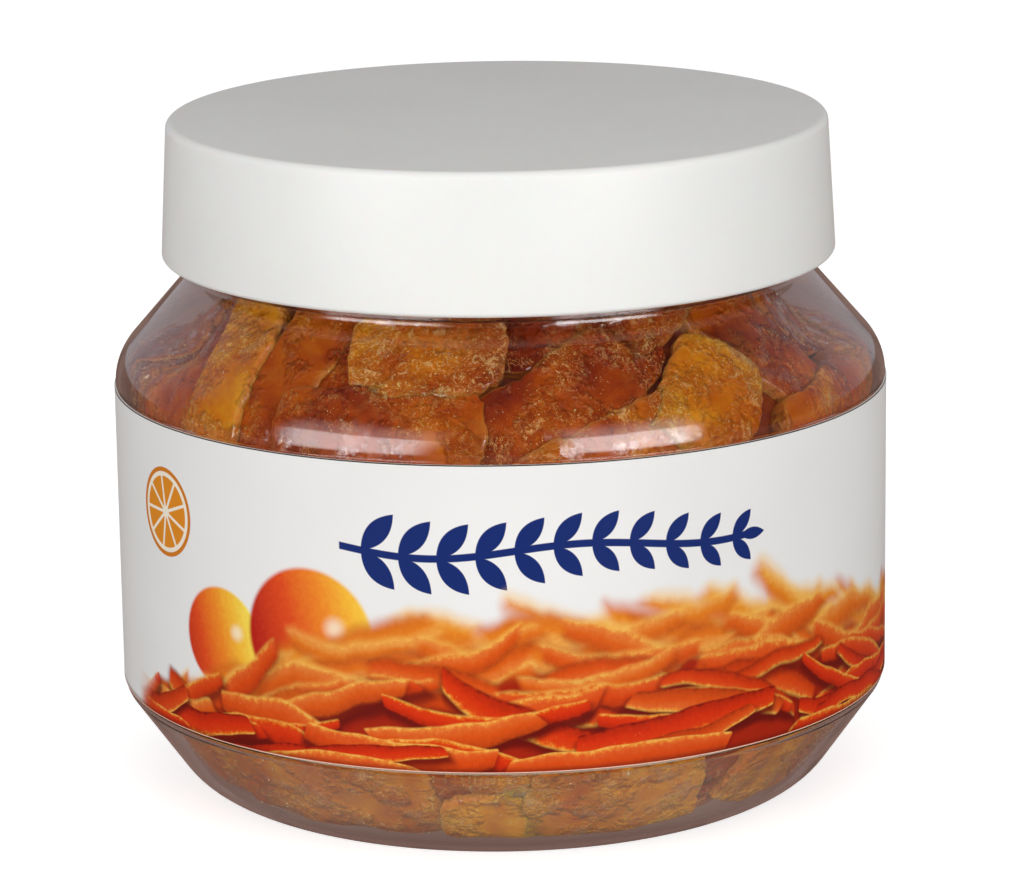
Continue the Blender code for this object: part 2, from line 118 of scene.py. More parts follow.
# Label: a strip of film wrapped round the panel, with its ends lapped at the back
LABEL_INNER = 48.80 * MM
LABEL_OUTER = 49.05 * MM
LABEL_LOW = 14.15 * MM
LABEL_TOP = 52.0 * MM
LABEL_TALL = 37.85
LABEL_LAP = 7.0 * MM
LABEL_SEGMENTS = 288

# Print, in millimetres along the film and up from its low edge
HEAP_HEIGHT = 18.5
HEAP_MARGIN = 7.0
HEAP_GROWS = (-76.0, -6.0)
HEAP_FALLS = (32.0, 84.0)
HEAP_ENDS = (96.0, 142.0)
HEAP_FALL = 0.42
HEAP_RIPPLE = 3.0
SPRIG_FIRST = -20.0
SPRIG_LAST = 31.0
SPRIG_HEIGHT = 27.2
SPRIG_LEAVES = 11
SPRIG_LEAF = 3.1
SPRIG_SHRINK = 0.35
LEAF_WIDTH = 0.42
END_LEAF = (1.2, 1.9, 0.75)
SPRIG_LEAN = math.radians(48.0)
SPRIG_SWAY = 0.8
SPRIG_WAVE = 0.17
SLICE_PLACE = (-49.0, 27.0)
SLICE_RADIUS = 5.6
SLICE_PARTS = 9
FRUITS = (((-38.0, 13.2), 6.4, 0.60), ((-24.5, 15.4), 8.6, 0.44))
PRINT_EDGE = 0.06
STRIP_ROWS = 20
STRIP_CORNER = 0.4
NAVY = (0.008, 0.024, 0.150)

# Peel: the surface that the outermost pieces lie on, a little inside the jar's inner wall
PACK_FLOOR_MIDDLE = 4.9 * MM
PACK_FLOOR_MID_RADIUS = 20.0 * MM
PACK_FLOOR_MID_HEIGHT = 4.4 * MM
PACK_FLOOR_EDGE = 1.6 * MM
PACK_BASE_RADIUS = 38.6 * MM
PACK_CORNER_RADIUS = 47.3 * MM
PACK_CORNER_HEIGHT = 13.9 * MM
PACK_SHOULDER_HEIGHT = 54.2 * MM
PACK_NECK_RADIUS = 37.2 * MM
PACK_NECK_HEIGHT = 65.75 * MM
PACK_TOP = 80.5 * MM
PACK_BASE_FILLET = 7.4 * MM
PACK_CORNER_FILLET = 3.0 * MM
PACK_SHOULDER_FILLET = 8.0 * MM
PACK_NECK_FILLET = 2.0 * MM
PACK_SPACING = 1.0 * MM
PACK_SMALLEST_RADIUS = 8.0 * MM
AXIS_CLEARANCE = 2.0 * MM
TRAVEL_END = 0.0001 * MM

# Room that is left between peel and wall, high up at the jar's sides and back
ROOM_DEPTH = 3.6 * MM
ROOM_ANGLES = (math.radians(58.0), math.radians(74.0))
ROOM_HEIGHTS = (54.5 * MM, 60.5 * MM)

CORE_DEPTH = 2.3 * MM
CORE_STEP = 1.6 * MM
CORE_TOP_HEIGHT = 73.0 * MM
CORE_TOP_RADIUS = 30.0 * MM
CORE_TOP_RINGS = 6
CORE_MIDDLE_HEIGHT = 33.0 * MM
TOP_PEEL_HEIGHT = 75.4 * MM
PEEL_THICKNESS = 3.6 * MM

PEEL_END_NARROW = 0.13
PEEL_END_ROUND = 0.07
PEEL_TAPER = 0.16
PEEL_BOW = 0.12
PEEL_LIFT = 0.9 * MM
PEEL_CROWN = 0.08 * MM
PEEL_EDGE = 0.30 * MM
PEEL_PRESS = 0.45 * MM
PEEL_RAGGED = 0.7 * MM
PEEL_WAVE = 0.45 * MM
PEEL_PIT = 0.12 * MM
PEEL_CRUST = 0.28 * MM
FRONT_SPACING = 0.44 * MM
BACK_SPACING = 0.95 * MM

CORE_SEGMENTS = 150
CORE_BUMP = 1.1 * MM
CORE_BUMP_SIZE = 11.0 * MM
CORE_LUMP = 0.9 * MM
CORE_LUMP_SIZE = 4.5 * MM
TOP_PEEL_SLOPE = 0.10

SUGAR_DENSITY = 13.0
SUGAR_CLUSTER = 2.6 * MM
SUGAR_BARE = -0.2
SUGAR_FULL = 0.5
SUGAR_SIZE = 0.16 * MM

SEGMENTS = 256
SMOOTH_ANGLE = math.radians(40.0)
SMALLEST_ROUNDING = 0.3 * MM

# Camera, fitted to the photograph's cap, label and base curves
IMAGE_WIDTH = 1021
SENSOR_WIDTH = 36.0
FOCAL_PIXELS = 4665.8
CAMERA_PLACE = (0.0, -0.57987, 0.18502)
CAMERA_DOWN = math.radians(13.80)
CAMERA_YAW = math.radians(0.115)
CAMERA_ROLL = math.radians(-0.807)

# Studio
ROOM_GREY = (0.40, 0.365, 0.38)
ROOM_DARK = (0.025, 0.022, 0.022)
SIDE_LIGHT = 0.215
FRONT_LIGHT = 0.32
TOP_LIGHT = 0.27
FLOOR_BOUNCE = (0.42, 0.42, 0.42)
FLOOR_GLOW = 0.62
# Painted shadow round the jar's foot, as the floor shows in the jar's reflections and through the jar
FLOOR_PAINTED_SHADOW = (0.200, 0.120, 0.098)
FLOOR_PAINTED_SHADOW_END = (56.0 * MM, 150.0 * MM)
FLOOR_MIRRORED = (0.50, 0.42, 0.33)
FLOOR_MIRRORED_START = (39.3 * MM, 44.5 * MM)
FLOOR_MIRRORED_END = (45.5 * MM, 60.0 * MM)
FLOOR_FAR = (0.235, 0.148, 0.122)
FLOOR_SIDE = (0.50, 0.92)
FLOOR_HALF = 3.0
FLOOR_HEIGHT = -0.1 * MM
SOFTBOX_DISTANCE = 0.65
SOFTBOX_ELEVATION = math.radians(22.0)
SOFTBOX_TALL = 0.70
SOFTBOX_LEFT = (-43.0, 0.64, 5.0)
SOFTBOX_RIGHT = (38.5, 0.54, 5.2)

# A piece of peel, in degrees and millimetres: its angle round the jar from the front towards +X, the height
# of its middle, the tilt of its length from level, its length and width, how deep it lies, its tone from
# dark to yellow, how much sugar is on it, and how much its tone rises from its middle to its right end.
Peel = namedtuple("Peel", "angle height tilt length width depth tone sugar fade", defaults=(0.0, 0.0, 0.0))

# Pieces spread evenly between two angles, each with its other sizes drawn between a lowest and a highest.
Ring = namedtuple("Ring", "first last count heights tilts lengths widths depths")

# The pieces that show at the front of the shoulder, and below the label
FRONT_SHOULDER = (
    Peel(-51.5, 57, 98, 36, 9.5, 0.0, 0.80, 0.35, 0.08),
    Peel(-37, 59, 74, 28, 10.0, 1.0, 0.44, 0.10, 0.06),
    Peel(-27, 61, 66, 24, 8.0, 1.6, 0.38, 0.10, -0.10),
    Peel(-13, 62.5, 4, 19, 11.0, 0.0, 0.58, 1.00, -0.24),
    Peel(-19, 54, 2, 27, 12.0, 0.2, 0.46, 0.25, 0.06),
    Peel(8, 58, 34, 34, 12.0, 0.9, 0.28, 0.45, 0.10),
    Peel(5, 66, 8, 30, 9.0, 1.5, 0.18, 0.30, 0.05),
    Peel(18, 52.5, 22, 30, 9.0, 0.2, 0.48, 0.55, 0.06),
    Peel(34, 56.5, 52, 17, 13.0, 0.0, 0.78, 0.55, 0.08),
    Peel(27, 65, 24, 20, 8.0, 1.4, 0.40, 0.90, 0.05),
    Peel(52, 60, 118, 26, 12.0, 1.4, 0.34, 0.25, 0.12),
    Peel(64, 52, 12, 28, 13.0, 0.5, 0.44, 0.10, 0.0),
    Peel(-63, 55, 70, 26, 13.0, 0.9, 0.42, 0.05, 0.0),
)
FRONT_LOW = (
    Peel(-30, 7, -3, 29, 18.0, 0.3, 0.66, 0.3, 0.06),
    Peel(-54, 8, 12, 24, 17.0, 0.6, 0.62, 0.2, 0.0),
    Peel(-9, 7, 84, 20, 10.0, 1.6, 0.40, 0.2, 0.0),
    Peel(-1, 5, 20, 14, 12.0, 0.2, 0.88, 0.2, 0.1),
    Peel(1, 12, -8, 16, 8.0, 0.4, 0.70, 0.9, 0.0),
    Peel(18, 8, 6, 23, 17.0, 0.0, 0.84, 0.3, 0.1),
    Peel(37, 8, 76, 20, 12.0, 1.2, 0.30, 0.2, 0.0),
    Peel(52, 9, -14, 20, 15.0, 0.3, 0.78, 0.2, 0.0),
)

# The pieces round the rest of the jar, and those on top, whose heights are distances from the axis
BACK_SHOULDER = Ring(80, 284, 14, (54, 60), (20, 160), (24, 34), (9, 13), (0.0, 1.4))
BACK_LOW = Ring(64, 296, 12, (7, 9), (-30, 30), (20, 28), (14, 18), (0.1, 1.2))
TOPS = Ring(0, 360, 5, (14, 19), (0, 180), (22, 30), (9, 12), (0.0, 1.2))
RING_JITTER = 0.2
BACK_TONES = (0.2, 0.62)
BACK_SUGARS = (0.1, 0.8)


# Outlines, as lists of (radius, height)

def rounded(before, corner, after, radius, steps):
    """Points of the arc that rounds a corner, from its first tangent point to its second."""
    a, b, c = Vector(before), Vector(corner), Vector(after)
    first = (a - b).normalized()
    second = (c - b).normalized()
    half = first.angle(second) / 2.0
    reach = radius / math.tan(half)
    centre = b + (first + second).normalized() * (radius / math.sin(half))
    start = b + first * reach - centre
    turn = math.pi - 2.0 * half
    side = 1.0 if first.x * second.y - first.y * second.x < 0.0 else -1.0
    points = []
    for i in range(steps + 1):
        angle = side * turn * i / steps
        x = start.x * math.cos(angle) - start.y * math.sin(angle)
        y = start.x * math.sin(angle) + start.y * math.cos(angle)
        points.append((centre.x + x, centre.y + y))
    return points


def outline(corners):
    """An open outline through corners given as (radius, height, rounding, steps)."""
    points = []
    for i, (r, z, rounding, steps) in enumerate(corners):
        if rounding and 0 < i < len(corners) - 1:
            points += rounded(corners[i - 1][:2], (r, z), corners[i + 1][:2], rounding, steps)
        else:
            points.append((r, z))
    return points


def inset(corners, distance):
    """Corners moved inwards by a wall's thickness, on the left of the way they run."""
    lines = []
    for a, b in zip(corners[:-1], corners[1:]):
        way = (Vector(b[:2]) - Vector(a[:2])).normalized()
        left = Vector((-way.y, way.x))
        lines.append((Vector(a[:2]) + left * distance, way))
    moved = [(lines[0][0].x, lines[0][0].y, 0.0, 0)]
    for i in range(1, len(corners) - 1):
        (p, u), (q, v) = lines[i - 1], lines[i]
        turn = u.x * v.y - u.y * v.x
        along = ((q - p).x * v.y - (q - p).y * v.x) / turn
        point = p + u * along
        rounding = corners[i][2] - math.copysign(distance, turn)
        moved.append((point.x, point.y, max(rounding, SMALLEST_ROUNDING), corners[i][3]))
    way = lines[-1][1]
    end = Vector(corners[-1][:2]) + Vector((-way.y, way.x)) * distance
    moved.append((end.x, end.y, 0.0, 0))
    return moved


def push_up(lift, steps=16):
    """The underside's dome, from the axis out to the standing ring."""
    points = []
    for i in range(steps + 1):
        part = i / steps
        height = PUSH_UP_LIP + (PUSH_UP - PUSH_UP_LIP) * math.cos(part * math.pi / 2.0)
        points.append((part * (STANDING_RING_INNER - PUSH_UP_MARGIN), height + lift))
    return points


def body_corners():
    """The jar's main outer corners, from the standing ring up to the rim."""
    return [
        (STANDING_RING_INNER, 0.0, 0.0, 0),
        (BASE_RADIUS, 0.0, BASE_FILLET, 14),
        (CORNER_RADIUS_LOW, CORNER_HEIGHT_LOW, CORNER_FILLET, 6),
        (CORNER_RADIUS_LOW, SHOULDER_HEIGHT, SHOULDER_FILLET, 16),
        (NECK_RADIUS, NECK_HEIGHT, NECK_FILLET, 5),
        (NECK_RADIUS, RIM_HEIGHT, 0.0, 0),
    ]


def jar_outline():
    corners = body_corners()
    outer = outline(corners[:-1] + [(NECK_RADIUS, BEAD_HEIGHT - BEAD_HALF, 0.0, 0)])
    low = [p for p in outer if p[1] < PANEL_LOW - PANEL_STEP]
    high = [p for p in outer if p[1] > PANEL_TOP + PANEL_STEP]
    panel = [
        (CORNER_RADIUS_LOW, PANEL_LOW - PANEL_STEP),
        (PANEL_RADIUS, PANEL_LOW),
        (PANEL_RADIUS, PANEL_TOP),
        (CORNER_RADIUS_LOW, PANEL_TOP + PANEL_STEP),
    ]
    bead = []
    for k in range(1, 8):
        swing = math.pi * k / 8.0
        proud = (BEAD_RADIUS - NECK_RADIUS) * math.sin(swing)
        bead.append((NECK_RADIUS + proud, BEAD_HEIGHT - BEAD_HALF * math.cos(swing)))
    rim = [
        (NECK_RADIUS, BEAD_HEIGHT + BEAD_HALF),
        (NECK_RADIUS, RIM_HEIGHT - RIM_ROUND),
        (NECK_RADIUS - RIM_ROUND, RIM_HEIGHT),
        (NECK_RADIUS - WALL, RIM_HEIGHT),
    ]
    inner = outline(inset(corners, WALL))[1:-1]
    inner.reverse()
    dome_inside = push_up(WALL)
    dome_inside.reverse()
    return push_up(0.0) + low + panel + high + bead + rim + inner + dome_inside


def cap_outline():
    corners = [
        (0.0, CAP_TOP - CAP_TOP_WALL, 0.0, 0),
        (CAP_INNER_TOP_RADIUS, CAP_TOP - CAP_TOP_WALL, CAP_INNER_FILLET, 4),
        (CAP_INNER_RADIUS, CAP_BOTTOM, 0.0, 0),
        (CAP_RADIUS_BOTTOM, CAP_BOTTOM, CAP_EDGE_BOTTOM, 6),
        (CAP_RADIUS_TOP, CAP_TOP, CAP_EDGE_TOP, 10),
        (0.0, CAP_TOP, 0.0, 0),
    ]
    return outline(corners)


def at(angle, radius, height):
    """A point round the jar's axis, the angle counted from the front towards +X."""
    return Vector((radius * math.sin(angle), -radius * math.cos(angle), height))


def link_mesh(name, bm):
    mesh = bpy.data.meshes.new(name)
    bm.to_mesh(mesh)
    bm.free()
    obj = bpy.data.objects.new(name, mesh)
    bpy.context.scene.collection.objects.link(obj)
    return obj


def smooth(obj):
    obj.data.shade_smooth()
    obj.data.set_sharp_from_angle(angle=SMOOTH_ANGLE)


def skin(bm, rings):
    """Faces between each ring of points and the next. A ring of one point is a tip."""
    for low, high in zip(rings[:-1], rings[1:]):
        count = max(len(low), len(high))
        for k in range(count):
            j = (k + 1) % count
            if len(low) == 1:
                bm.faces.new((low[0], high[j], high[k]))
            elif len(high) == 1:
                bm.faces.new((low[k], low[j], high[0]))
            else:
                bm.faces.new((low[k], low[j], high[j], high[k]))


def turned(name, points):
    """A solid turned round Z, from an outline that starts and ends on the axis."""
    bm = bmesh.new()
    step = 2.0 * math.pi / SEGMENTS
    rings = []
    for radius, height in points:
        if radius == 0.0:
            rings.append([bm.verts.new((0.0, 0.0, height))])
        else:
            rings.append([bm.verts.new(at(step * k, radius, height)) for k in range(SEGMENTS)])
    skin(bm, rings)
    return link_mesh(name, bm)


def lug(name, start, radius, height, proud):
    """One slanting bar of thread: proud is outwards on the neck, and inwards, so negative, in the cap."""
    bm = bmesh.new()
    side = math.copysign(1.0, proud)
    rings = []
    for i in range(LUG_SIDES + 1):
        part = i / LUG_SIDES
        angle = start + LUG_ARC * part
        middle = height + LUG_RISE * part
        swell = min(1.0, LUG_END + LUG_SIDES * (1.0 - LUG_END) / 3.0 * min(part, 1.0 - part))
        corners = (
            (radius - side * LUG_EMBED, middle - LUG_HALF),
            (radius + proud * swell, middle - LUG_HALF * LUG_FLAT),
            (radius + proud * swell, middle + LUG_HALF * LUG_FLAT),
            (radius - side * LUG_EMBED, middle + LUG_HALF),
        )
        rings.append([bm.verts.new(at(angle, r, z)) for r, z in corners])
    skin(bm, rings)
    bm.faces.new(rings[0])
    bm.faces.new(list(reversed(rings[-1])))
    bmesh.ops.recalc_face_normals(bm, faces=bm.faces)
    return link_mesh(name, bm)


def fuse_thread(obj, radius, height, proud, turn=0.0):
    """Joins the thread's lugs to the neck or to the cap."""
    group = bpy.data.collections.new(obj.name + "_lugs")
    for k in range(LUG_COUNT):
        start = 2.0 * math.pi * k / LUG_COUNT + turn
        group.objects.link(lug(f"{obj.name}_lug_{k}", start, radius, height, proud))
    union = obj.modifiers.new("Union", "BOOLEAN")
    union.operation = "UNION"
    union.operand_type = "COLLECTION"
    union.collection = group
    union.solver = "EXACT"
    graph = bpy.context.evaluated_depsgraph_get()
    result = bpy.data.meshes.new_from_object(obj.evaluated_get(graph))
    obj.modifiers.remove(union)
    obj.data = result
    for part in list(group.objects):
        bpy.data.objects.remove(part, do_unlink=True)
    bpy.data.collections.remove(group)


# Peel

def packing_corners():
    return [
        (0.0, PACK_FLOOR_MIDDLE, 0.0, 0),
        (PACK_FLOOR_MID_RADIUS, PACK_FLOOR_MID_HEIGHT, 0.0, 0),
        (PACK_BASE_RADIUS, PACK_FLOOR_EDGE, PACK_BASE_FILLET, 6),
        (PACK_CORNER_RADIUS, PACK_CORNER_HEIGHT, PACK_CORNER_FILLET, 5),
        (PACK_CORNER_RADIUS, PACK_SHOULDER_HEIGHT, PACK_SHOULDER_FILLET, 7),
        (PACK_NECK_RADIUS, PACK_NECK_HEIGHT, PACK_NECK_FILLET, 3),
        (PACK_NECK_RADIUS, PACK_TOP, 0.0, 0),
    ]


def rise(value, low, high):
    """0 below low and 1 above high, smoothly between."""
    part = min(max((value - low) / (high - low), 0.0), 1.0)
    return part * part * (3.0 - 2.0 * part)


def room(angle, height):
    """How far the peel stands back from the wall at an angle from the front and a height."""
    round_the_side = math.acos(math.cos(angle))
    return ROOM_DEPTH * rise(round_the_side, *ROOM_ANGLES) * rise(height, *ROOM_HEIGHTS)


class Packing:
    """The surface that the peel lies on, by the distance travelled out along the floor and up the wall."""

    def __init__(self):
        raw = [Vector(p) for p in outline(packing_corners())]
        self.points = [raw[0]]
        self.travel = [0.0]
        for a, b in zip(raw[:-1], raw[1:]):
            count = max(1, round((b - a).length / PACK_SPACING))
            for i in range(1, count + 1):
                point = a.lerp(b, i / count)
                self.travel.append(self.travel[-1] + (point - self.points[-1]).length)
                self.points.append(point)

    def place(self, travel):
        """The point at a distance along the surface, and the way that points into the jar there."""
        travel = min(max(travel, 0.0), self.travel[-1] - TRAVEL_END)
        i = 0
        while self.travel[i + 1] < travel:
            i += 1
        part = (travel - self.travel[i]) / (self.travel[i + 1] - self.travel[i])
        point = self.points[i].lerp(self.points[i + 1], part)
        a = self.points[max(i - 2, 0)]
        b = self.points[min(i + 3, len(self.points) - 1)]
        way = (b - a).normalized()
        return point, Vector((-way.y, way.x))

    def travel_at(self, height):
        """The distance along the surface at a height on the wall."""
        for i, point in enumerate(self.points):
            if point.y >= height and self.travel[i] > PACK_BASE_RADIUS:
                return self.travel[i]
        return self.travel[-1]

    def point(self, angle, across, travel, depth):
        """A point by the angle, the distance across from it, the travel, and the depth into the jar."""
        surface, inwards = self.place(travel)
        turned_to = angle + across / max(surface.x, PACK_SMALLEST_RADIUS)
        spot = surface + inwards * (depth + room(turned_to, surface.y))
        return at(turned_to, max(spot.x, AXIS_CLEARANCE), spot.y)


class HeapMesh:
    """Collects pieces of peel as one mesh. A point's colour is its tone, nearness to an edge and sugar."""

    def __init__(self):
        self.points = []
        self.faces = []
        self.looks = []
        self.patches = []

    def add(self, points, faces, looks):
        first = len(self.points)
        self.points += points
        self.faces += [tuple(first + k for k in face) for face in faces]
        self.looks += looks

    def link(self, name):
        mesh = bpy.data.meshes.new(name)
        mesh.from_pydata(self.points, [], self.faces)
        looks = mesh.attributes.new("looks", "FLOAT_COLOR", "POINT")
        looks.data.foreach_set("color", [value for look in self.looks for value in look])
        mesh.update()
        mesh.shade_smooth()
        obj = bpy.data.objects.new(name, mesh)
        bpy.context.scene.collection.objects.link(obj)
        return obj


def add_peel(heap, peel, place, rng, looks_rng, spacing):
    """Adds one bent, ragged slab of peel, put in the jar by a function of its flat sizes."""
    tilt = math.radians(peel.tilt)
    half_length = peel.length * MM / 2.0
    half_width = peel.width * MM / 2.0
    bow = rng.uniform(-PEEL_BOW, PEEL_BOW)
    lift = rng.uniform(0.0, PEEL_LIFT)
    tapers = (rng.uniform(0.0, PEEL_TAPER), rng.uniform(0.0, PEEL_TAPER))
    grain = Vector([looks_rng.uniform(-90.0, 90.0) for _ in range(3)])
    count_along = max(10, round(2.0 * half_length / spacing))
    count_across = max(6, round(2.0 * half_width / spacing))

    def flat(u, v):
        """Where a point of the piece lies along and over it, when flat."""
        end = max(0.0, (abs(u) - 0.7) / 0.3)
        narrow = 1.0 - tapers[u > 0.0] * abs(u) - PEEL_END_NARROW * end * end
        along = u * half_length * (1.0 - PEEL_END_ROUND * abs(u * v) ** 3)
        over = v * half_width * narrow + bow * half_length * (1.0 - u * u)
        rim = max(abs(u), abs(v)) ** 4
        spot = grain + Vector((along, over, 0.0)) / (3.4 * MM)
        along += noise.noise(spot) * PEEL_RAGGED * rim
        over += noise.noise(spot + Vector((7.7, 0.0, 3.1))) * PEEL_RAGGED * rim
        fine = grain + Vector((along, over, 0.0)) / (1.1 * MM)
        along += noise.noise(fine) * 0.45 * PEEL_RAGGED * rim
        over += noise.noise(fine + Vector((0.0, 5.3, 1.9))) * 0.45 * PEEL_RAGGED * rim
        return along, over

    def point(u, v, side):
        """A point of the outer face, side 0, or of the inner one, side 1, and its nearness to the edge."""
        along, over = flat(u, v)
        edge = min((1.0 - abs(u)) * half_length, (1.0 - abs(v)) * half_width)
        drop = PEEL_EDGE - math.sqrt(max(0.0, PEEL_EDGE ** 2 - max(0.0, PEEL_EDGE - edge) ** 2))
        wave = noise.noise(grain + Vector((along, over, 0.0)) / (6.0 * MM)) * PEEL_WAVE
        pit = 0.0
        if side == 0:
            flat_spot = Vector((along, over, 0.0))
            distances = noise.voronoi(flat_spot / (1.3 * MM) + grain)[0]
            pit = PEEL_PIT * (1.0 - min(1.0, 1.6 * distances[0]))
            ridge = 1.0 - abs(noise.noise(flat_spot / (1.7 * MM) + grain)) * 3.0
            crust = max(0.0, 0.3 + noise.noise(flat_spot / (5.0 * MM)))
            pit -= PEEL_CRUST * peel.sugar * max(0.0, ridge) * crust
        depth = peel.depth * MM - PEEL_PRESS + lift * max(0.0, u) ** 2
        depth += PEEL_CROWN * v * v + wave + pit
        if side == 0:
            depth = max(depth + drop, -1.5 * PEEL_PRESS)
        else:
            depth += PEEL_THICKNESS - drop
        across = along * math.cos(tilt) - over * math.sin(tilt)
        up = along * math.sin(tilt) + over * math.cos(tilt)
        near = 1.0 - min(1.0, edge / (1.6 * MM))
        return place(across, up, depth), near

    def spread(k, count):
        """Grid lines, closer together towards both ends."""
        s = 2.0 * k / count - 1.0
        return s * (1.16 - 0.16 * s * s)

    columns = count_across + 1
    total = (count_along + 1) * columns
    points = []
    looks = []
    for side in (0, 1):
        for i in range(count_along + 1):
            for j in range(columns):
                spot, near = point(spread(i, count_along), spread(j, count_across), side)
                points.append(spot)
                tone = peel.tone + peel.fade * spread(i, count_along)
                looks.append((tone, near, peel.sugar if side == 0 else 0.0, 1.0))
    faces = []
    for i in range(count_along):
        for j in range(count_across):
            a = i * columns + j
            faces.append((a, a + columns, a + columns + 1, a + 1))
            b = total + a
            faces.append((b, b + 1, b + columns + 1, b + columns))
    rim = [(i, 0) for i in range(count_along)]
    rim += [(count_along, j) for j in range(count_across)]
    rim += [(i, count_across) for i in range(count_along, 0, -1)]
    rim += [(0, j) for j in range(count_across, 0, -1)]
    rim = [i * columns + j for i, j in rim]
    for a, b in zip(rim, rim[1:] + rim[:1]):
        faces.append((a, total + a, total + b, b))
    heap.add(points, faces, looks)
    heap.patches.append((peel, point))


def ring_of_peels(rng, looks_rng, ring):
    """The pieces of a ring, each with a tone and an amount of sugar of its own."""
    peels = []
    for k in range(ring.count):
        part = (k + 0.5 + rng.uniform(-RING_JITTER, RING_JITTER)) / ring.count
        sizes = [rng.uniform(*span) for span in ring[3:]]
        looks = (looks_rng.uniform(*BACK_TONES), looks_rng.uniform(*BACK_SUGARS))
        peels.append(Peel(ring.first + (ring.last - ring.first) * part, *sizes, *looks))
    return peels


def wall_place(packing, peel):
    """Where a point of a piece against the wall lies, by its place on the flat piece."""
    angle = math.radians(peel.angle)
    middle = packing.travel_at(peel.height * MM)
    return lambda across, up, depth: packing.point(angle, across, middle + up, depth)


def top_place(peel, slope):
    """Where a point of a piece on top of the heap lies, by its place on the flat piece."""
    middle = at(math.radians(peel.angle), peel.height * MM, TOP_PEEL_HEIGHT)
    return lambda across, up, depth: middle + Vector((across, up, across * slope - depth))


def heap_mesh():
    """Every piece of peel in the jar, the front's pieces finely and the others more plainly."""
    rng = random.Random(SEED)
    looks_rng = random.Random(SEED + 1)
    packing = Packing()
    back = ring_of_peels(rng, looks_rng, BACK_SHOULDER)
    back_low = ring_of_peels(rng, looks_rng, BACK_LOW)
    tops = ring_of_peels(rng, looks_rng, TOPS)
    heap = HeapMesh()
    for peels, spacing in (
        (FRONT_SHOULDER, FRONT_SPACING),
        (back, BACK_SPACING),
        (FRONT_LOW, FRONT_SPACING),
        (back_low, BACK_SPACING),
    ):
        for peel in peels:
            add_peel(heap, peel, wall_place(packing, peel), rng, looks_rng, spacing)
    for peel in tops:
        place = top_place(peel, rng.uniform(-TOP_PEEL_SLOPE, TOP_PEEL_SLOPE))
        add_peel(heap, peel, place, rng, looks_rng, BACK_SPACING)
    return heap


def core_mesh(name):
    """The heap's middle: what shows in the gaps between the outer pieces, as lumps of deeper peel."""
    packing = Packing()
    bm = bmesh.new()
    angles = [2.0 * math.pi * k / CORE_SEGMENTS for k in range(CORE_SEGMENTS)]
    circles = []
    travel = CORE_STEP
    while travel < packing.travel_at(CORE_TOP_HEIGHT):
        circles.append([packing.point(angle, 0.0, travel, CORE_DEPTH) for angle in angles])
        travel += CORE_STEP
    for k in range(CORE_TOP_RINGS, 0, -1):
        radius = CORE_TOP_RADIUS * k / CORE_TOP_RINGS
        circles.append([at(angle, radius, CORE_TOP_HEIGHT) for angle in angles])
    middle = Vector((0.0, 0.0, CORE_MIDDLE_HEIGHT))
    rings = []
    for circle in circles:
        ring = []
        for place in circle:
            bump = noise.noise(place / CORE_BUMP_SIZE) * CORE_BUMP
            lumps = noise.voronoi(place / CORE_LUMP_SIZE)[0]
            bump += CORE_LUMP * (0.5 - min(1.0, lumps[0] * 1.4))
            ring.append(bm.verts.new(place + (place - middle).normalized() * bump))
        rings.append(ring)
    bottom = bm.verts.new((0.0, 0.0, PACK_FLOOR_MIDDLE + CORE_DEPTH))
    top = bm.verts.new((0.0, 0.0, CORE_TOP_HEIGHT))
    skin(bm, [[bottom], *rings, [top]])
    bmesh.ops.recalc_face_normals(bm, faces=bm.faces)
    obj = link_mesh(name, bm)
    obj.data.shade_smooth()
    return obj


def sugar_mesh(name, heap):
    """Crystals of sugar on the outer pieces, in clusters, as one mesh of small uneven grains."""
    rng = random.Random(SEED + 2)
    points = []
    faces = []
    for peel, point in heap.patches:
        area = peel.length * peel.width
        for _ in range(round(area * peel.sugar * SUGAR_DENSITY)):
            u, v = rng.uniform(-0.96, 0.96), rng.uniform(-0.95, 0.95)
            spot = point(u, v, 0)[0]
            cluster = noise.noise(spot / SUGAR_CLUSTER + Vector((9.0, 0.0, 0.0)))
            if rng.uniform(SUGAR_BARE, SUGAR_FULL) > cluster:
                continue
            size = SUGAR_SIZE * rng.uniform(0.4, 1.0) ** 2
            first = len(points)
            for _ in range(4):
                way = Vector([rng.gauss(0.0, 1.0) for _ in range(3)]).normalized()
                points.append(spot + way * size * rng.uniform(0.7, 1.4))
            a, b, c, d = points[first:]
            turn = (1, 2) if (b - a).cross(c - a).dot(d - a) < 0.0 else (2, 1)
            one, two = first + turn[0], first + turn[1]
            last = first + 3
            faces += [(first, one, two), (first, two, last), (two, one, last), (one, first, last)]
    mesh = bpy.data.meshes.new(name)
    mesh.from_pydata(points, [], faces)
    mesh.update()
    obj = bpy.data.objects.new(name, mesh)
    bpy.context.scene.collection.objects.link(obj)
    return obj


def printed_height(angle):
    """How high the printed heap may reach on the film at an angle from the front."""
    degrees = math.degrees(angle)
    height = HEAP_HEIGHT * rise(degrees, *HEAP_GROWS) * (1.0 - HEAP_FALL * rise(degrees, *HEAP_FALLS))
    height = height * (1.0 - rise(degrees, *HEAP_ENDS)) + HEAP_MARGIN
    return LABEL_LOW + height * MM


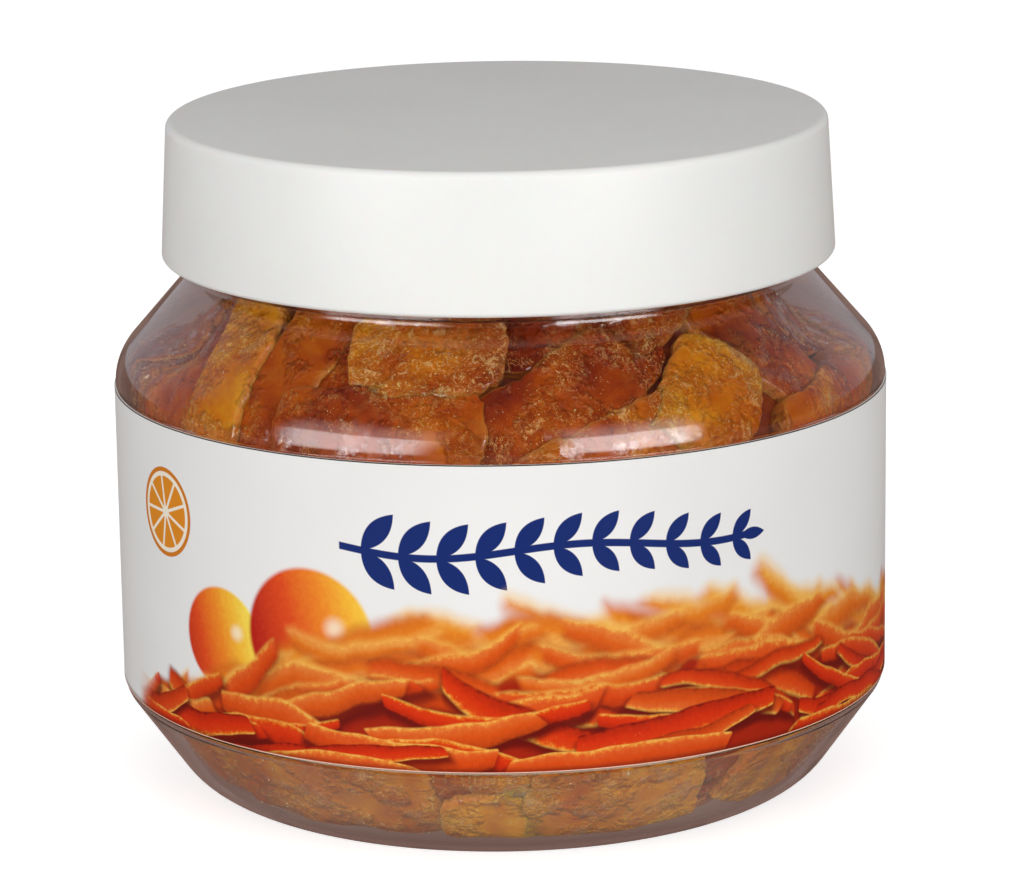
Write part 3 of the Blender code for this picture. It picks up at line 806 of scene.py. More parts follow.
def label_mesh(name):
    """The film: one strip round the panel, half as thick where its ends lap at the back.

    The faces of its outer side that carry the printed heap have material 1, and all the others material 0.
    """
    lap = LABEL_LAP / LABEL_OUTER
    first = -math.pi - lap / 2.0
    last = math.pi + lap / 2.0
    thin = (LABEL_OUTER - LABEL_INNER) * 0.45
    bm = bmesh.new()
    rings = []
    for k in range(LABEL_SEGMENTS + 1):
        angle = first + (last - first) * k / LABEL_SEGMENTS
        inner = LABEL_INNER
        outer = LABEL_OUTER
        if angle < first + lap:
            outer = LABEL_INNER + thin
        if angle > last - lap:
            inner = LABEL_OUTER - thin
        corners = (
            (inner, LABEL_LOW),
            (outer, LABEL_LOW),
            (outer, printed_height(angle)),
            (outer, LABEL_TOP),
            (inner, LABEL_TOP),
        )
        rings.append([bm.verts.new(at(angle, r, z)) for r, z in corners])
    for near, far in zip(rings[:-1], rings[1:]):
        for k in range(5):
            j = (k + 1) % 5
            face = bm.faces.new((near[k], far[k], far[j], near[j]))
            face.material_index = 1 if k == 1 else 0
    bm.faces.new(rings[0])
    bm.faces.new(list(reversed(rings[-1])))
    bmesh.ops.recalc_face_normals(bm, faces=bm.faces)
    obj = link_mesh(name, bm)
    smooth(obj)
    return obj


# Node graphs

class Field:
    """A number that varies over a surface. Arithmetic on it adds Math nodes to its graph."""

    def __init__(self, graph, socket):
        self.graph = graph
        self.socket = socket

    def __add__(self, other):
        return self.graph.math("ADD", self, other)

    def __sub__(self, other):
        return self.graph.math("SUBTRACT", self, other)

    def __mul__(self, other):
        return self.graph.math("MULTIPLY", self, other)

    def __truediv__(self, other):
        return self.graph.math("DIVIDE", self, other)

    def __rsub__(self, other):
        return self.graph.math("SUBTRACT", other, self)

    def __neg__(self):
        return self.graph.math("MULTIPLY", self, -1.0)

    def __abs__(self):
        return self.graph.math("ABSOLUTE", self)

    __radd__ = __add__
    __rmul__ = __mul__


class Graph:
    """Builds a node tree by short calls. Each call returns a Field, or a socket for colours and vectors."""

    def __init__(self, tree):
        self.tree = tree

    def add(self, kind, **settings):
        node = self.tree.nodes.new(kind)
        for name, value in settings.items():
            setattr(node, name, value)
        return node

    def feed(self, socket, value):
        if isinstance(value, Field):
            value = value.socket
        if isinstance(value, bpy.types.NodeSocket):
            self.tree.links.new(value, socket)
        elif socket.type == "RGBA" and len(value) == 3:
            socket.default_value = (*value, 1.0)
        else:
            socket.default_value = value

    def math(self, operation, *values):
        node = self.add("ShaderNodeMath", operation=operation)
        for socket, value in zip(node.inputs, values):
            self.feed(socket, value)
        return Field(self, node.outputs[0])

    def larger(self, a, b):
        return self.math("MAXIMUM", a, b)

    def length(self, x, y):
        return self.math("SQRT", x * x + y * y)

    def step(self, value, low, high):
        """0 below low and 1 above high, smoothly between; low may be the larger."""
        node = self.add("ShaderNodeMapRange", interpolation_type="SMOOTHSTEP", clamp=False)
        self.feed(node.inputs["Value"], value)
        self.feed(node.inputs["From Min"], low)
        self.feed(node.inputs["From Max"], high)
        return Field(self, node.outputs["Result"])

    def mix(self, factor, a, b, blend="MIX"):
        node = self.add("ShaderNodeMix", data_type="RGBA", blend_type=blend)
        self.feed(node.inputs["Factor"], factor)
        self.feed(node.inputs[6], a)
        self.feed(node.inputs[7], b)
        return node.outputs[2]

    def vector(self, x, y, z=0.0):
        node = self.add("ShaderNodeCombineXYZ")
        for socket, value in zip(node.inputs, (x, y, z)):
            self.feed(socket, value)
        return node.outputs[0]

    def parts(self, vector):
        node = self.add("ShaderNodeSeparateXYZ")
        self.feed(node.inputs[0], vector)
        return [Field(self, socket) for socket in node.outputs]

    def channels(self, color):
        node = self.add("ShaderNodeSeparateColor")
        self.feed(node.inputs[0], color)
        return [Field(self, socket) for socket in node.outputs]

    def noise(self, vector, scale, detail=2.0, roughness=0.5, distortion=0.0):
        node = self.add("ShaderNodeTexNoise")
        self.feed(node.inputs["Vector"], vector)
        self.feed(node.inputs["Scale"], scale)
        self.feed(node.inputs["Detail"], detail)
        self.feed(node.inputs["Roughness"], roughness)
        self.feed(node.inputs["Distortion"], distortion)
        return Field(self, node.outputs["Fac"])

    def draws(self, number):
        """Three random numbers for each value of a number."""
        node = self.add("ShaderNodeTexWhiteNoise", noise_dimensions="1D")
        self.feed(node.inputs["W"], number)
        return self.channels(node.outputs["Color"])

    def sway(self, number, detail=2.0):
        """Smooth noise along one number."""
        node = self.add("ShaderNodeTexNoise", noise_dimensions="1D")
        self.feed(node.inputs["W"], number)
        self.feed(node.inputs["Scale"], 1.0)
        self.feed(node.inputs["Detail"], detail)
        return Field(self, node.outputs["Fac"])

    def ramp(self, factor, stops):
        node = self.add("ShaderNodeValToRGB")
        elements = node.color_ramp.elements
        while len(elements) < len(stops):
            elements.new(0.5)
        for element, (place, color) in zip(elements, stops):
            element.position = place
            element.color = (*color, 1.0)
        self.feed(node.inputs["Fac"], factor)
        return node.outputs["Color"]

    def mix_shader(self, factor, a, b):
        node = self.add("ShaderNodeMixShader")
        for socket, value in zip(node.inputs, (factor, a, b)):
            self.feed(socket, value)
        return node.outputs[0]

    def ray_kinds(self):
        """Three numbers that are 1 for a camera ray, a mirrored ray and a ray through something clear."""
        rays = self.add("ShaderNodeLightPath").outputs
        return [Field(self, rays[f"Is {kind} Ray"]) for kind in ("Camera", "Glossy", "Transmission")]

    def bump(self, height, distance, strength=1.0):
        node = self.add("ShaderNodeBump")
        self.feed(node.inputs["Height"], height)
        self.feed(node.inputs["Distance"], distance)
        self.feed(node.inputs["Strength"], strength)
        return node.outputs["Normal"]


def new_material(name):
    """A material with its graph, its shader and the object's own coordinates."""
    mat = bpy.data.materials.new(name)
    mat.use_nodes = True
    graph = Graph(mat.node_tree)
    shader = mat.node_tree.nodes["Principled BSDF"]
    place = graph.add("ShaderNodeTexCoord").outputs["Object"]
    return mat, graph, shader, place


def set_shader(graph, shader, **values):
    """Feeds the shader's sockets: the name of each is its label with underscores for spaces."""
    for name, value in values.items():
        graph.feed(shader.inputs[name.replace("_", " ")], value)


def paint(obj, mat):
    obj.data.materials.clear()
    obj.data.materials.append(mat)


# Materials

def clear_plastic():
    """Clear blown plastic with faint flow marks."""
    mat, graph, shader, place = new_material("clear_plastic")
    flow = graph.noise(place, 60.0, 2.0)
    fine = graph.noise(place, 900.0, 2.0)
    set_shader(
        graph,
        shader,
        Base_Color=graph.ramp(flow, ((0.3, (0.93, 0.91, 0.94)), (0.7, (0.96, 0.95, 0.97)))),
        Roughness=graph.step(fine, 0.45, 0.9) * 0.05 + 0.012,
        IOR=1.57,
        Transmission_Weight=1.0,
        Normal=graph.bump(flow, 0.25 * MM, 0.35),
    )
    return mat


def white_plastic():
    """White moulded plastic with a satin grain."""
    mat, graph, shader, place = new_material("white_plastic")
    grain = graph.noise(place, 4200.0, 3.0)
    cloud = graph.noise(place, 45.0, 3.0)
    set_shader(
        graph,
        shader,
        Base_Color=graph.ramp(cloud, ((0.3, (0.83, 0.83, 0.805)), (0.7, (0.86, 0.86, 0.838)))),
        Roughness=cloud * 0.10 + 0.36,
        Subsurface_Weight=0.15,
        Subsurface_Scale=1.2 * MM,
        Normal=graph.bump(grain, 0.02 * MM, 0.5),
    )
    return mat


def candied_peel():
    """Translucent, syrupy peel: dark red to yellow by tone, with hazy rims that are partly a painted glow
    of light through thin edges, wet coat glints in clusters, and painted glints as pale threads and points.
    """
    mat, graph, shader, place = new_material("candied_peel")
    attribute = graph.add("ShaderNodeAttribute", attribute_name="looks").outputs["Color"]
    tone, near, sugar = graph.channels(attribute)
    broad = graph.noise(place, 105.0, 3.0, 0.5, 0.6)
    cloud = graph.noise(place, 300.0, 4.0, 0.60, 0.5)
    lumps = graph.noise(place, 760.0, 3.0, 0.6, 1.2)
    grain = graph.noise(place, 2100.0, 3.0, 0.7)
    crusted = graph.step(graph.noise(place, 210.0, 3.0, 0.6) + sugar * 0.16, 0.48, 0.64)
    fine = (grain - 0.5) * (crusted * 0.45 + 0.08) + (lumps - 0.5) * (crusted * 0.45 + 0.05)
    shade = tone + (broad - 0.5) * 1.15 + (cloud - 0.5) * 0.50 + fine
    color = graph.ramp(
        shade,
        (
            (0.00, (0.110, 0.006, 0.001)),
            (0.20, (0.230, 0.022, 0.001)),
            (0.40, (0.360, 0.055, 0.001)),
            (0.60, (0.460, 0.102, 0.001)),
            (0.80, (0.560, 0.175, 0.002)),
            (1.00, (0.720, 0.310, 0.010)),
        ),
    )
    pith = graph.step(graph.noise(place, 150.0, 4.0, 0.6, 0.8), 0.53, 0.70) * 0.30
    color = graph.mix(pith, color, (0.36, 0.140, 0.022))
    # Painted glow: pieces turn paler towards their edges, partly a pith-like haze and partly painted light
    # shining through the thin edge, with brighter orange at the very edge.
    rim = graph.step(near, 0.35, 1.0) * graph.step(broad, 0.40, 0.60) * 0.45
    color = graph.mix(rim, color, (0.46, 0.220, 0.050))
    color = graph.mix(graph.step(near, 0.80, 1.0) * 0.55, color, (0.60, 0.210, 0.030))
    blot = graph.step(lumps, 0.56, 0.64) * crusted * sugar * 0.8
    color = graph.mix(blot, color, (0.70, 0.40, 0.150))
    # Painted glints: thin pale curving threads where the peel is crusted.
    thread = graph.noise(place, 640.0, 2.0, 0.5, 2.4)
    thin = graph.step(abs(thread - 0.5), 0.020, 0.006) * graph.step(cloud, 0.46, 0.56)
    color = graph.mix(thin * crusted * 0.8, color, (0.86, 0.50, 0.17))
    # Painted glints: small pale points, most where the peel is crusted, a few more where it has sugar.
    painted_glint_dots = graph.step(graph.noise(place, 3000.0, 2.0, 0.6), 0.70 - sugar * 0.05, 0.75 - sugar * 0.05)
    color = graph.mix(painted_glint_dots * (crusted * 0.7 + 0.15), color, (0.95, 0.64, 0.26))
    wet = graph.step(graph.noise(place, 520.0, 3.0, 0.6), 0.50, 0.58)
    relief = grain * (crusted * 0.6 + 0.08) + lumps * (crusted * 1.8 + 0.2) + thread * (crusted * 0.5)
    set_shader(
        graph,
        shader,
        Base_Color=color,
        Roughness=cloud * 0.3 + 0.25,
        IOR=1.45,
        Specular_IOR_Level=0.12,
        Subsurface_Weight=0.55,
        Subsurface_Radius=(1.0, 0.42, 0.15),
        Subsurface_Scale=1.5 * MM,
        Coat_Weight=wet * (crusted * 0.6 + 0.3),
        Coat_IOR=2.0,
        Coat_Roughness=0.05,
        Normal=graph.bump(relief, 0.45 * MM, 1.0),
    )
    return mat


def heap_core_painted_shade():
    """The deep peel in the gaps: redder than the outer pieces, and painted darker than them as shade in the
    gaps.
    """
    mat, graph, shader, place = new_material("heap_core_painted_shade")
    cloud = graph.noise(place, 140.0, 4.0, 0.6)
    fine = graph.noise(place, 800.0, 3.0, 0.7)
    # Painted shade: the ramp stays at the dark end of the peel's tones.
    color = graph.ramp(
        cloud,
        ((0.30, (0.11, 0.006, 0.001)), (0.50, (0.18, 0.018, 0.001)), (0.70, (0.28, 0.045, 0.001))),
    )
    set_shader(
        graph,
        shader,
        Base_Color=color,
        Roughness=0.3,
        Subsurface_Weight=0.4,
        Subsurface_Radius=(1.0, 0.45, 0.20),
        Subsurface_Scale=1.3 * MM,
        Coat_Weight=0.5,
        Coat_Roughness=0.1,
        Normal=graph.bump(fine, 0.15 * MM, 0.6),
    )
    return mat


def sugar():
    """Crystallised sugar, stained by the syrup."""
    mat, graph, shader, place = new_material("sugar")
    stain = graph.noise(place, 320.0, 2.0)
    color = graph.ramp(
        stain,
        ((0.30, (0.50, 0.22, 0.055)), (0.55, (0.72, 0.45, 0.19)), (0.75, (0.90, 0.72, 0.46))),
    )
    set_shader(
        graph,
        shader,
        Base_Color=color,
        Roughness=0.12,
        IOR=1.54,
        Subsurface_Weight=0.4,
        Subsurface_Scale=0.4 * MM,
    )
    return mat


def pale_floor():
    """A pale matt floor, which shows as brown and grey in the jar's reflections and through the jar: there
    it is painted emission, with a painted shadow under and round the jar.
    """
    mat, graph, shader, place = new_material("pale_floor")
    tooth = graph.noise(place, 30.0, 3.0)
    camera, glossy, transmitted = graph.ray_kinds()
    pale = graph.ramp(tooth, ((0.3, (0.90, 0.90, 0.90)), (0.7, (0.92, 0.92, 0.92))))
    set_shader(
        graph,
        shader,
        Base_Color=graph.mix(camera, FLOOR_BOUNCE, pale),
        Roughness=0.9,
        Specular_IOR_Level=0.1,
        Emission_Color=(1.0, 1.0, 1.0),
        Emission_Strength=camera * FLOOR_GLOW,
    )
    x, y, _ = graph.parts(place)
    away = graph.length(x, y)
    # Painted shadow: what shows through the jar is dark brown under and round the jar, fading to the grey
    # room further out.
    through = graph.mix(graph.step(away, *FLOOR_PAINTED_SHADOW_END), FLOOR_PAINTED_SHADOW, ROOM_GREY)
    # Painted shadow in reflections: dark under the jar, the lit floor just beyond it, then darker far out
    # and to the sides.
    mirrored = graph.mix(graph.step(away, *FLOOR_MIRRORED_START), FLOOR_PAINTED_SHADOW, FLOOR_MIRRORED)
    aside = graph.step(abs(x) / away, *FLOOR_SIDE)
    outer = graph.larger(graph.step(away, *FLOOR_MIRRORED_END), aside)
    mirrored = graph.mix(outer, mirrored, FLOOR_FAR)
    seen = graph.add("ShaderNodeEmission")
    graph.feed(seen.inputs["Color"], graph.mix(glossy, through, mirrored))
    surface = graph.mix_shader(graph.larger(glossy, transmitted), shader.outputs[0], seen.outputs[0])
    graph.feed(mat.node_tree.nodes["Material Output"].inputs["Surface"], surface)
    return mat


# The label's print, in millimetres along the film from its front and up from its low edge

STRIP_INPUTS = (
    "X", "Y", "Pitch", "Middle", "Wander", "Tilt", "Spread", "Length", "Width", "Bend", "Soft", "Seed",
    "Tone", "Grain", "Specks",
)


def strip_group():
    """One row of printed strips of peel over what lies behind it, with the strips' shadows."""
    tree = bpy.data.node_groups.new("strip_row", "ShaderNodeTree")
    for name in STRIP_INPUTS:
        tree.interface.new_socket(name, in_out="INPUT", socket_type="NodeSocketFloat")
    tree.interface.new_socket("Behind", in_out="INPUT", socket_type="NodeSocketColor")
    tree.interface.new_socket("Color", in_out="OUTPUT", socket_type="NodeSocketColor")
    graph = Graph(tree)
    given = graph.add("NodeGroupInput").outputs
    x, y, pitch, middle, wander, tilt, spread, length, width, bend, soft, seed, tone, grain, specks = [
        Field(graph, given[name]) for name in STRIP_INPUTS
    ]
    shifted = x / pitch + seed * 0.37
    cell = graph.math("FLOOR", shifted)
    offset = (shifted - cell - 0.5) * pitch
    number = cell * 3.1 + seed
    slide, rise, turn = graph.draws(number)
    curve, long, wide = graph.draws(number + 0.7)
    flip, tint, slant = graph.draws(number + 1.9)

    dx = offset - (slide - 0.5) * (pitch - length * 2.0)
    dy = y - middle - (rise - 0.5) * wander
    angle = tilt + (turn - 0.5) * spread
    cosine = graph.math("COSINE", angle)
    sine = graph.math("SINE", angle)
    wobble = graph.sway(x * 0.12 + seed * 7.0, 1.0) - 0.5
    p = dx * cosine + dy * sine
    q = dy * cosine - dx * sine + bend * (curve - 0.5) * p * p + wobble * 1.3
    reach = length * (long * 0.3 + 0.7)
    share = p / reach
    half = width * (wide * 0.6 + 0.7) * (1.0 - share * share * 0.35)

    def distance(q_shift):
        """How far outside the strip's rounded outline a point lies."""
        ax = abs(p + q * (slant - 0.5) * 1.6) - reach + STRIP_CORNER
        ay = abs(q + q_shift) - half + STRIP_CORNER
        outside_x = graph.larger(ax, 0.0)
        outside_y = graph.larger(ay, 0.0)
        corner = graph.length(outside_x, outside_y)
        within = graph.math("MINIMUM", graph.larger(ax, ay), 0.0)
        return corner + within - STRIP_CORNER

    shadow = graph.step(distance(0.8), soft + 0.7, -0.5)
    behind = graph.mix(shadow * graph.step(soft, 0.7, 0.3) * 0.9, given["Behind"], (0.13, 0.005, 0.003))
    cover = graph.step(distance(0.0), soft, -soft)
    across = q / half * graph.math("SIGN", flip - 0.45)
    lit = across * 0.5 + 0.5 + grain
    body = graph.ramp(
        lit,
        (
            (0.00, (0.20, 0.006, 0.002)),
            (0.12, (0.44, 0.018, 0.002)),
            (0.45, (0.62, 0.026, 0.002)),
            (0.80, (0.66, 0.040, 0.003)),
            (0.90, (0.72, 0.150, 0.010)),
            (1.00, (0.84, 0.420, 0.070)),
        ),
    )
    warm = graph.ramp(
        lit,
        ((0.0, (0.66, 0.13, 0.010)), (0.5, (0.75, 0.24, 0.016)), (1.0, (0.86, 0.50, 0.110))),
    )
    color = graph.mix(tone + graph.step(tint, 0.72, 0.95) * 0.26, body, warm)
    frost = graph.step(specks + lit * 0.14, 0.76, 0.84) * graph.step(soft, 0.8, 0.2)
    color = graph.mix(frost * 0.40, color, (0.92, 0.50, 0.20))
    result = graph.mix(cover, behind, color)
    output = graph.add("NodeGroupOutput")
    graph.feed(output.inputs["Color"], result)
    return tree


def add_strips(graph, place, x, y, share, color):
    """Rows of printed strips, from the soft yellow back of the heap to its sharp red front."""
    rng = random.Random(SEED + 5)
    group = strip_group()
    grain = (graph.noise(place, 1400.0, 4.0, 0.65) - 0.5) * 0.5
    specks = graph.noise(place, 4200.0, 2.0, 0.7)
    for k in range(STRIP_ROWS):
        front = k / (STRIP_ROWS - 1)
        far = 1.0 - front
        length = 6.0 + 10.0 * front + rng.uniform(-1.5, 1.5)
        values = {
            "X": x,
            "Y": y,
            "Pitch": length * 2.0 * rng.uniform(1.06, 1.18),
            "Middle": share * ((0.97 - 0.94 * front ** 1.25) * HEAP_HEIGHT) - 0.4,
            "Wander": 2.0 + 1.6 * math.sin(math.pi * front),
            "Tilt": rng.uniform(-0.35, 0.35) * (1.3 - front),
            "Spread": 0.95 - 0.50 * front,
            "Length": length,
            "Width": rng.uniform(1.20, 1.60),
            "Bend": 0.06 - 0.03 * front,
            "Soft": 0.10 + 1.5 * far ** 1.9,
            "Seed": 11.0 + 5.7 * k,
            "Tone": min(1.0, 1.1 * far ** 2.7) + rng.uniform(-0.03, 0.0),
            "Grain": grain,
            "Specks": specks,
            "Behind": color,
        }
        node = graph.add("ShaderNodeGroup", node_tree=group)
        for name, value in values.items():
            graph.feed(node.inputs[name], value)
        color = graph.mix(graph.step(share, 0.02, 0.14), color, node.outputs["Color"])
    return color


def round_fruit(graph, place, x, y, behind, centre, radius, glow):
    """A soft printed orange, red on its left side and yellow on its right."""
    dx = (x - centre[0]) / radius
    dy = (y - centre[1]) / radius
    away = graph.length(dx, dy)
    mottle = graph.noise(place, 1600.0, 3.0, 0.6) - 0.5
    lit = dx * 0.42 + dy * 0.12 + glow + mottle * 0.16
    color = graph.ramp(
        lit,
        (
            (0.05, (0.46, 0.015, 0.008)),
            (0.35, (0.72, 0.070, 0.012)),
            (0.60, (0.84, 0.24, 0.020)),
            (0.80, (0.90, 0.48, 0.040)),
            (1.00, (0.93, 0.74, 0.10)),
        ),
    )
    shine_x = dx - 0.42
    shine_y = dy - 0.18
    shine = graph.step(graph.length(shine_x, shine_y), 0.24, 0.02)
    color = graph.mix(shine * 0.65, color, (0.95, 0.88, 0.72))
    return graph.mix(graph.step(away, 1.05, 0.96), behind, color)


def leaf(graph, x, y, centre, angle, length, width):
    """1 inside a pointed leaf, 0 outside it."""
    dx = x - centre[0]
    dy = y - centre[1]
    p = (dx * math.cos(angle) + dy * math.sin(angle)) / length
    q = dy * math.cos(angle) - dx * math.sin(angle)
    edge = (1.0 - p * p) * width - abs(q)
    return graph.step(edge, -PRINT_EDGE, PRINT_EDGE)


def sprig(graph, x, y):
    """A plain stem with paired leaves, growing smaller to its right end."""
    wave = graph.math("SINE", x * SPRIG_WAVE) * SPRIG_SWAY
    stem = abs(y - SPRIG_HEIGHT - wave)
    within = graph.step(x, SPRIG_FIRST - 0.1, SPRIG_FIRST + 0.1)
    within = within * graph.step(x, SPRIG_LAST + 0.1, SPRIG_LAST - 0.1)
    pitch = (SPRIG_LAST - SPRIG_FIRST) / SPRIG_LEAVES
    number = graph.math("FLOOR", (x - SPRIG_FIRST) / pitch - 0.55)
    place = (number + 0.6) * pitch + SPRIG_FIRST
    base = graph.math("SINE", place * SPRIG_WAVE) * SPRIG_SWAY + SPRIG_HEIGHT
    length = (1.0 - number * (SPRIG_SHRINK / SPRIG_LEAVES)) * SPRIG_LEAF
    centre = (place + length * math.cos(SPRIG_LEAN), length * math.sin(SPRIG_LEAN))
    pair = leaf(graph, x, abs(y - base), centre, SPRIG_LEAN, length, length * LEAF_WIDTH)
    pair = pair * graph.step(number, -0.6, -0.4)
    pair = pair * graph.step(number, SPRIG_LEAVES - 0.4, SPRIG_LEAVES - 0.6)
    end = (SPRIG_LAST + END_LEAF[0], SPRIG_HEIGHT + SPRIG_SWAY * math.sin(SPRIG_LAST * SPRIG_WAVE))
    mask = graph.larger(graph.step(stem, 0.52, 0.40) * within, pair)
    return graph.larger(mask, leaf(graph, x, y, end, 0.0, *END_LEAF[1:]))


def slice_mark(graph, x, y, behind):
    """A plain round slice of an orange."""
    dx = x - SLICE_PLACE[0]
    dy = y - SLICE_PLACE[1]
    away = graph.length(dx, dy)
    turn = graph.math("ARCTAN2", dy, dx) * (SLICE_PARTS / (2.0 * math.pi))
    wedge = abs(turn - graph.math("ROUND", turn))
    rind, pith, flesh = [
        graph.step(away, SLICE_RADIUS * share + PRINT_EDGE, SLICE_RADIUS * share - PRINT_EDGE)
        for share in (1.0, 0.90, 0.80)
    ]
    flesh = flesh * graph.step(away, SLICE_RADIUS * 0.10, SLICE_RADIUS * 0.16)
    flesh = flesh * graph.step((0.5 - wedge) * away, 0.22, 0.34)
    color = graph.mix(rind, behind, (0.62, 0.19, 0.012))
    color = graph.mix(pith, color, (0.88, 0.80, 0.66))
    return graph.mix(flesh, color, (0.72, 0.25, 0.015))


def printed_film(name, with_heap):
    """Off-white satin film with two round fruits, a sprig, a slice and, if asked, a heap of strips."""
    mat, graph, shader, place = new_material(name)
    px, py, pz = graph.parts(place)
    angle = graph.math("ARCTAN2", px, -py)
    x = angle * (LABEL_OUTER / MM)
    y = (pz - LABEL_LOW) / MM
    degrees = angle * (180.0 / math.pi)

    cloud = graph.noise(place, 40.0, 2.0)
    color = graph.ramp(cloud, ((0.3, (0.80, 0.79, 0.775)), (0.7, (0.83, 0.82, 0.805))))
    color = graph.mix(sprig(graph, x, y), color, NAVY)
    color = slice_mark(graph, x, y, color)
    for centre, radius, glow in FRUITS:
        color = round_fruit(graph, place, x, y, color, centre, radius, glow)

    if with_heap:
        ripple = graph.sway(x * 0.13) - 0.5
        height = graph.step(degrees, *HEAP_GROWS) * HEAP_HEIGHT
        height = height * (1.0 - graph.step(degrees, *HEAP_FALLS) * HEAP_FALL)
        height = height * (1.0 - graph.step(degrees, *HEAP_ENDS))
        height = height + ripple * HEAP_RIPPLE * graph.step(height, 0.5, 4.0)
        share = height / HEAP_HEIGHT
        ground = graph.step(y - height, 0.8, -1.8) * graph.step(share, 0.02, 0.14)
        depth = graph.step(y - height, -0.5, -6.0)
        under = graph.mix(depth, (0.80, 0.36, 0.09), (0.36, 0.016, 0.003))
        color = graph.mix(ground, color, under)
        color = add_strips(graph, place, x, y, share, color)

    color = graph.mix(graph.step(y, 0.9, 0.1) * 0.6, color, (0.12, 0.008, 0.003))
    color = graph.mix(graph.step(y, 0.15, 0.08), color, (0.85, 0.52, 0.38))
    # Painted shade: a near-black line along the film's top edge, for the gap between film and jar.
    color = graph.mix(graph.step(LABEL_TALL - y, 0.17, 0.11), color, (0.034, 0.021, 0.009))
    away = graph.length(px, py)
    inner = graph.step(away, LABEL_OUTER - 0.03 * MM, LABEL_OUTER - 0.06 * MM)
    color = graph.mix(inner, color, (0.82, 0.81, 0.79))
    set_shader(
        graph,
        shader,
        Base_Color=color,
        Roughness=cloud * 0.08 + 0.40,
        Specular_IOR_Level=0.10,
        Normal=graph.bump(graph.noise(place, 1500.0, 2.0), 0.01 * MM, 0.4),
    )
    return mat


# Studio

def soft_world():
    """Even white light, a white backdrop, and a grey room for what the jar mirrors and lets through."""
    world = bpy.data.worlds.new("studio")
    bpy.context.scene.world = world
    world.use_nodes = True
    graph = Graph(world.node_tree)
    world.node_tree.nodes.clear()
    way = graph.add("ShaderNodeTexCoord").outputs["Generated"]
    _, y, z = graph.parts(way)
    behind = graph.step(y, 0.05, 0.80)
    room = graph.mix(behind, ROOM_DARK, ROOM_GREY)

    def background(color, strength=1.0):
        node = graph.add("ShaderNodeBackground")
        graph.feed(node.inputs["Color"], color)
        graph.feed(node.inputs["Strength"], strength)
        return node.outputs[0]

    camera, glossy, transmitted = graph.ray_kinds()
    front = graph.step(y, -0.1, -0.95) * FRONT_LIGHT
    above = graph.step(z, 0.2, 0.95) * TOP_LIGHT
    light = background((1.0, 1.0, 1.0), front + above + SIDE_LIGHT)
    inner = graph.mix_shader(graph.larger(glossy, transmitted), light, background(room))
    outer = graph.mix_shader(camera, inner, background((1.0, 1.0, 1.0)))
    graph.feed(graph.add("ShaderNodeOutputWorld").inputs["Surface"], outer)


def softbox(name, azimuth, width, power):
    """A soft rectangular light that faces the jar, brightest in its lower half and fading to its edges."""
    light = bpy.data.lights.new(name, "AREA")
    light.shape = "RECTANGLE"
    light.size = width
    light.size_y = SOFTBOX_TALL
    light.energy = power
    light.use_nodes = True
    graph = Graph(light.node_tree)
    emission = light.node_tree.nodes["Emission"]
    u, v, _ = graph.parts(graph.add("ShaderNodeNewGeometry").outputs["Parametric"])
    across = graph.step(u, 0.0, 0.22) * graph.step(u, 1.0, 0.78)
    bright = graph.step(v, 0.58, 0.50) * 0.72 + graph.step(v, 0.96, 0.58) * 0.28
    upwards = graph.step(v, 0.02, 0.16) * bright
    graph.feed(emission.inputs["Strength"], across * upwards)
    obj = bpy.data.objects.new(name, light)
    bpy.context.scene.collection.objects.link(obj)
    turn = math.radians(azimuth)
    back = at(turn, math.cos(SOFTBOX_ELEVATION), math.sin(SOFTBOX_ELEVATION))
    obj.location = back * SOFTBOX_DISTANCE + Vector((0.0, 0.0, 0.5 * CAP_TOP))
    obj.rotation_mode = "QUATERNION"
    obj.rotation_quaternion = back.to_track_quat("Z", "Y")
    obj.visible_camera = False
    return obj


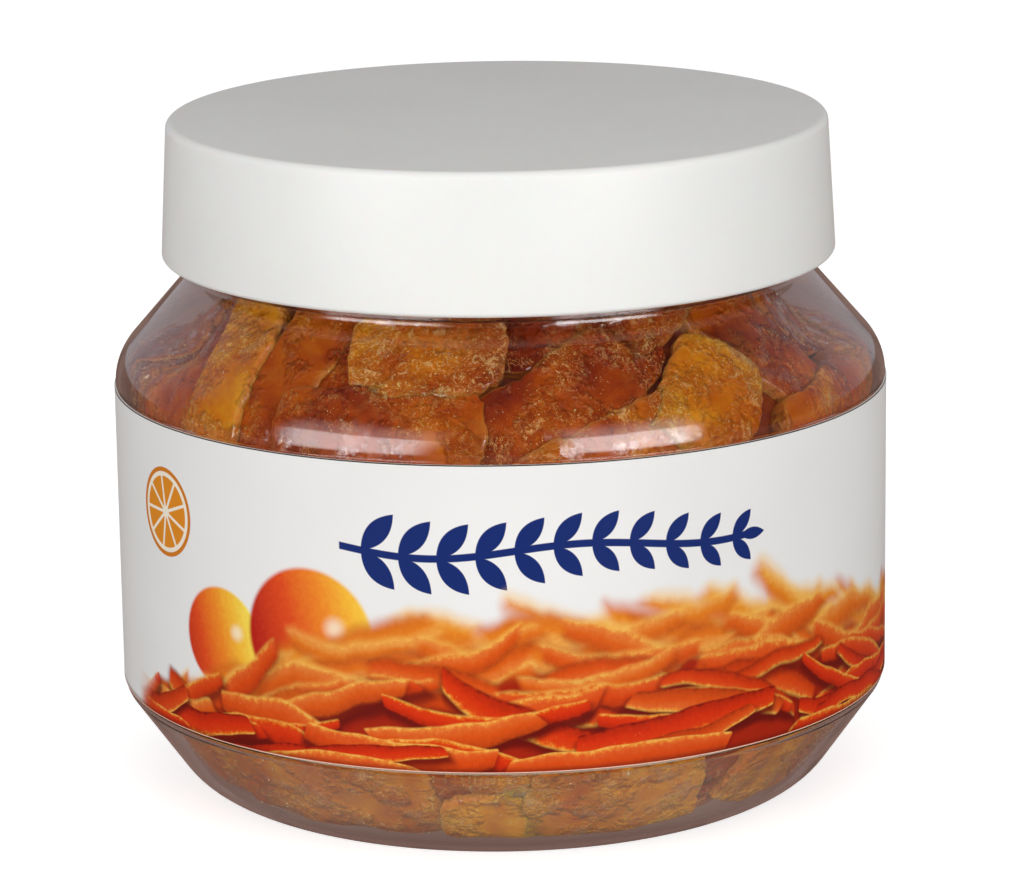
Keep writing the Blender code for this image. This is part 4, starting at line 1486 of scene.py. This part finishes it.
def add_camera():
    camera = bpy.data.cameras.new("camera")
    camera.sensor_width = SENSOR_WIDTH
    camera.lens = SENSOR_WIDTH * FOCAL_PIXELS / IMAGE_WIDTH
    obj = bpy.data.objects.new("camera", camera)
    bpy.context.scene.collection.objects.link(obj)
    flat = math.cos(CAMERA_DOWN)
    ahead = Vector((math.sin(CAMERA_YAW) * flat, math.cos(CAMERA_YAW) * flat, -math.sin(CAMERA_DOWN)))
    right = Vector((math.cos(CAMERA_YAW), -math.sin(CAMERA_YAW), 0.0))
    up = right.cross(ahead)
    side = right * math.cos(CAMERA_ROLL) + up * math.sin(CAMERA_ROLL)
    top = up * math.cos(CAMERA_ROLL) - right * math.sin(CAMERA_ROLL)
    turn = Matrix((side, top, -ahead)).transposed()
    obj.matrix_world = Matrix.Translation(CAMERA_PLACE) @ turn.to_4x4()
    bpy.context.scene.camera = obj


def add_floor():
    bm = bmesh.new()
    corners = ((-1, -1), (1, -1), (1, 1), (-1, 1))
    bm.faces.new([bm.verts.new((x * FLOOR_HALF, y * FLOOR_HALF, FLOOR_HEIGHT)) for x, y in corners])
    floor = link_mesh("floor", bm)
    paint(floor, pale_floor())


def ride(piece, node):
    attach(piece, "root")
    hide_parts(node)


def build():
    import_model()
    scene = bpy.context.scene
    scene.view_settings.view_transform = "Standard"
    soft_world()
    softbox("softbox_left", *SOFTBOX_LEFT)
    softbox("softbox_right", *SOFTBOX_RIGHT)
    add_floor()
    add_camera()

    jar = turned("jar_clear", jar_outline())
    fuse_thread(jar, NECK_RADIUS, NECK_LUG_HEIGHT, NECK_LUG_PROUD)
    smooth(jar)
    paint(jar, clear_plastic())
    jar.visible_shadow = False
    jar.visible_diffuse = False
    ride(jar, "jar")

    cap = turned("cap_white", cap_outline())
    fuse_thread(cap, CAP_INNER_RADIUS, CAP_LUG_HEIGHT, -CAP_LUG_PROUD, CAP_LUG_TURN)
    smooth(cap)
    paint(cap, white_plastic())
    ride(cap, "cap")

    label = label_mesh("label_film")
    label.data.materials.append(printed_film("printed_film", False))
    label.data.materials.append(printed_film("printed_film_heap", True))
    label.visible_shadow = False
    ride(label, "label")

    heap = heap_mesh()
    peels = heap.link("peel_pieces")
    paint(peels, candied_peel())
    ride(peels, "peel_heap")
    core = core_mesh("peel_core")
    paint(core, heap_core_painted_shade())
    ride(core, "peel_heap")
    crystals = sugar_mesh("sugar_crystals", heap)
    paint(crystals, sugar())
    ride(crystals, "peel_heap")


build()
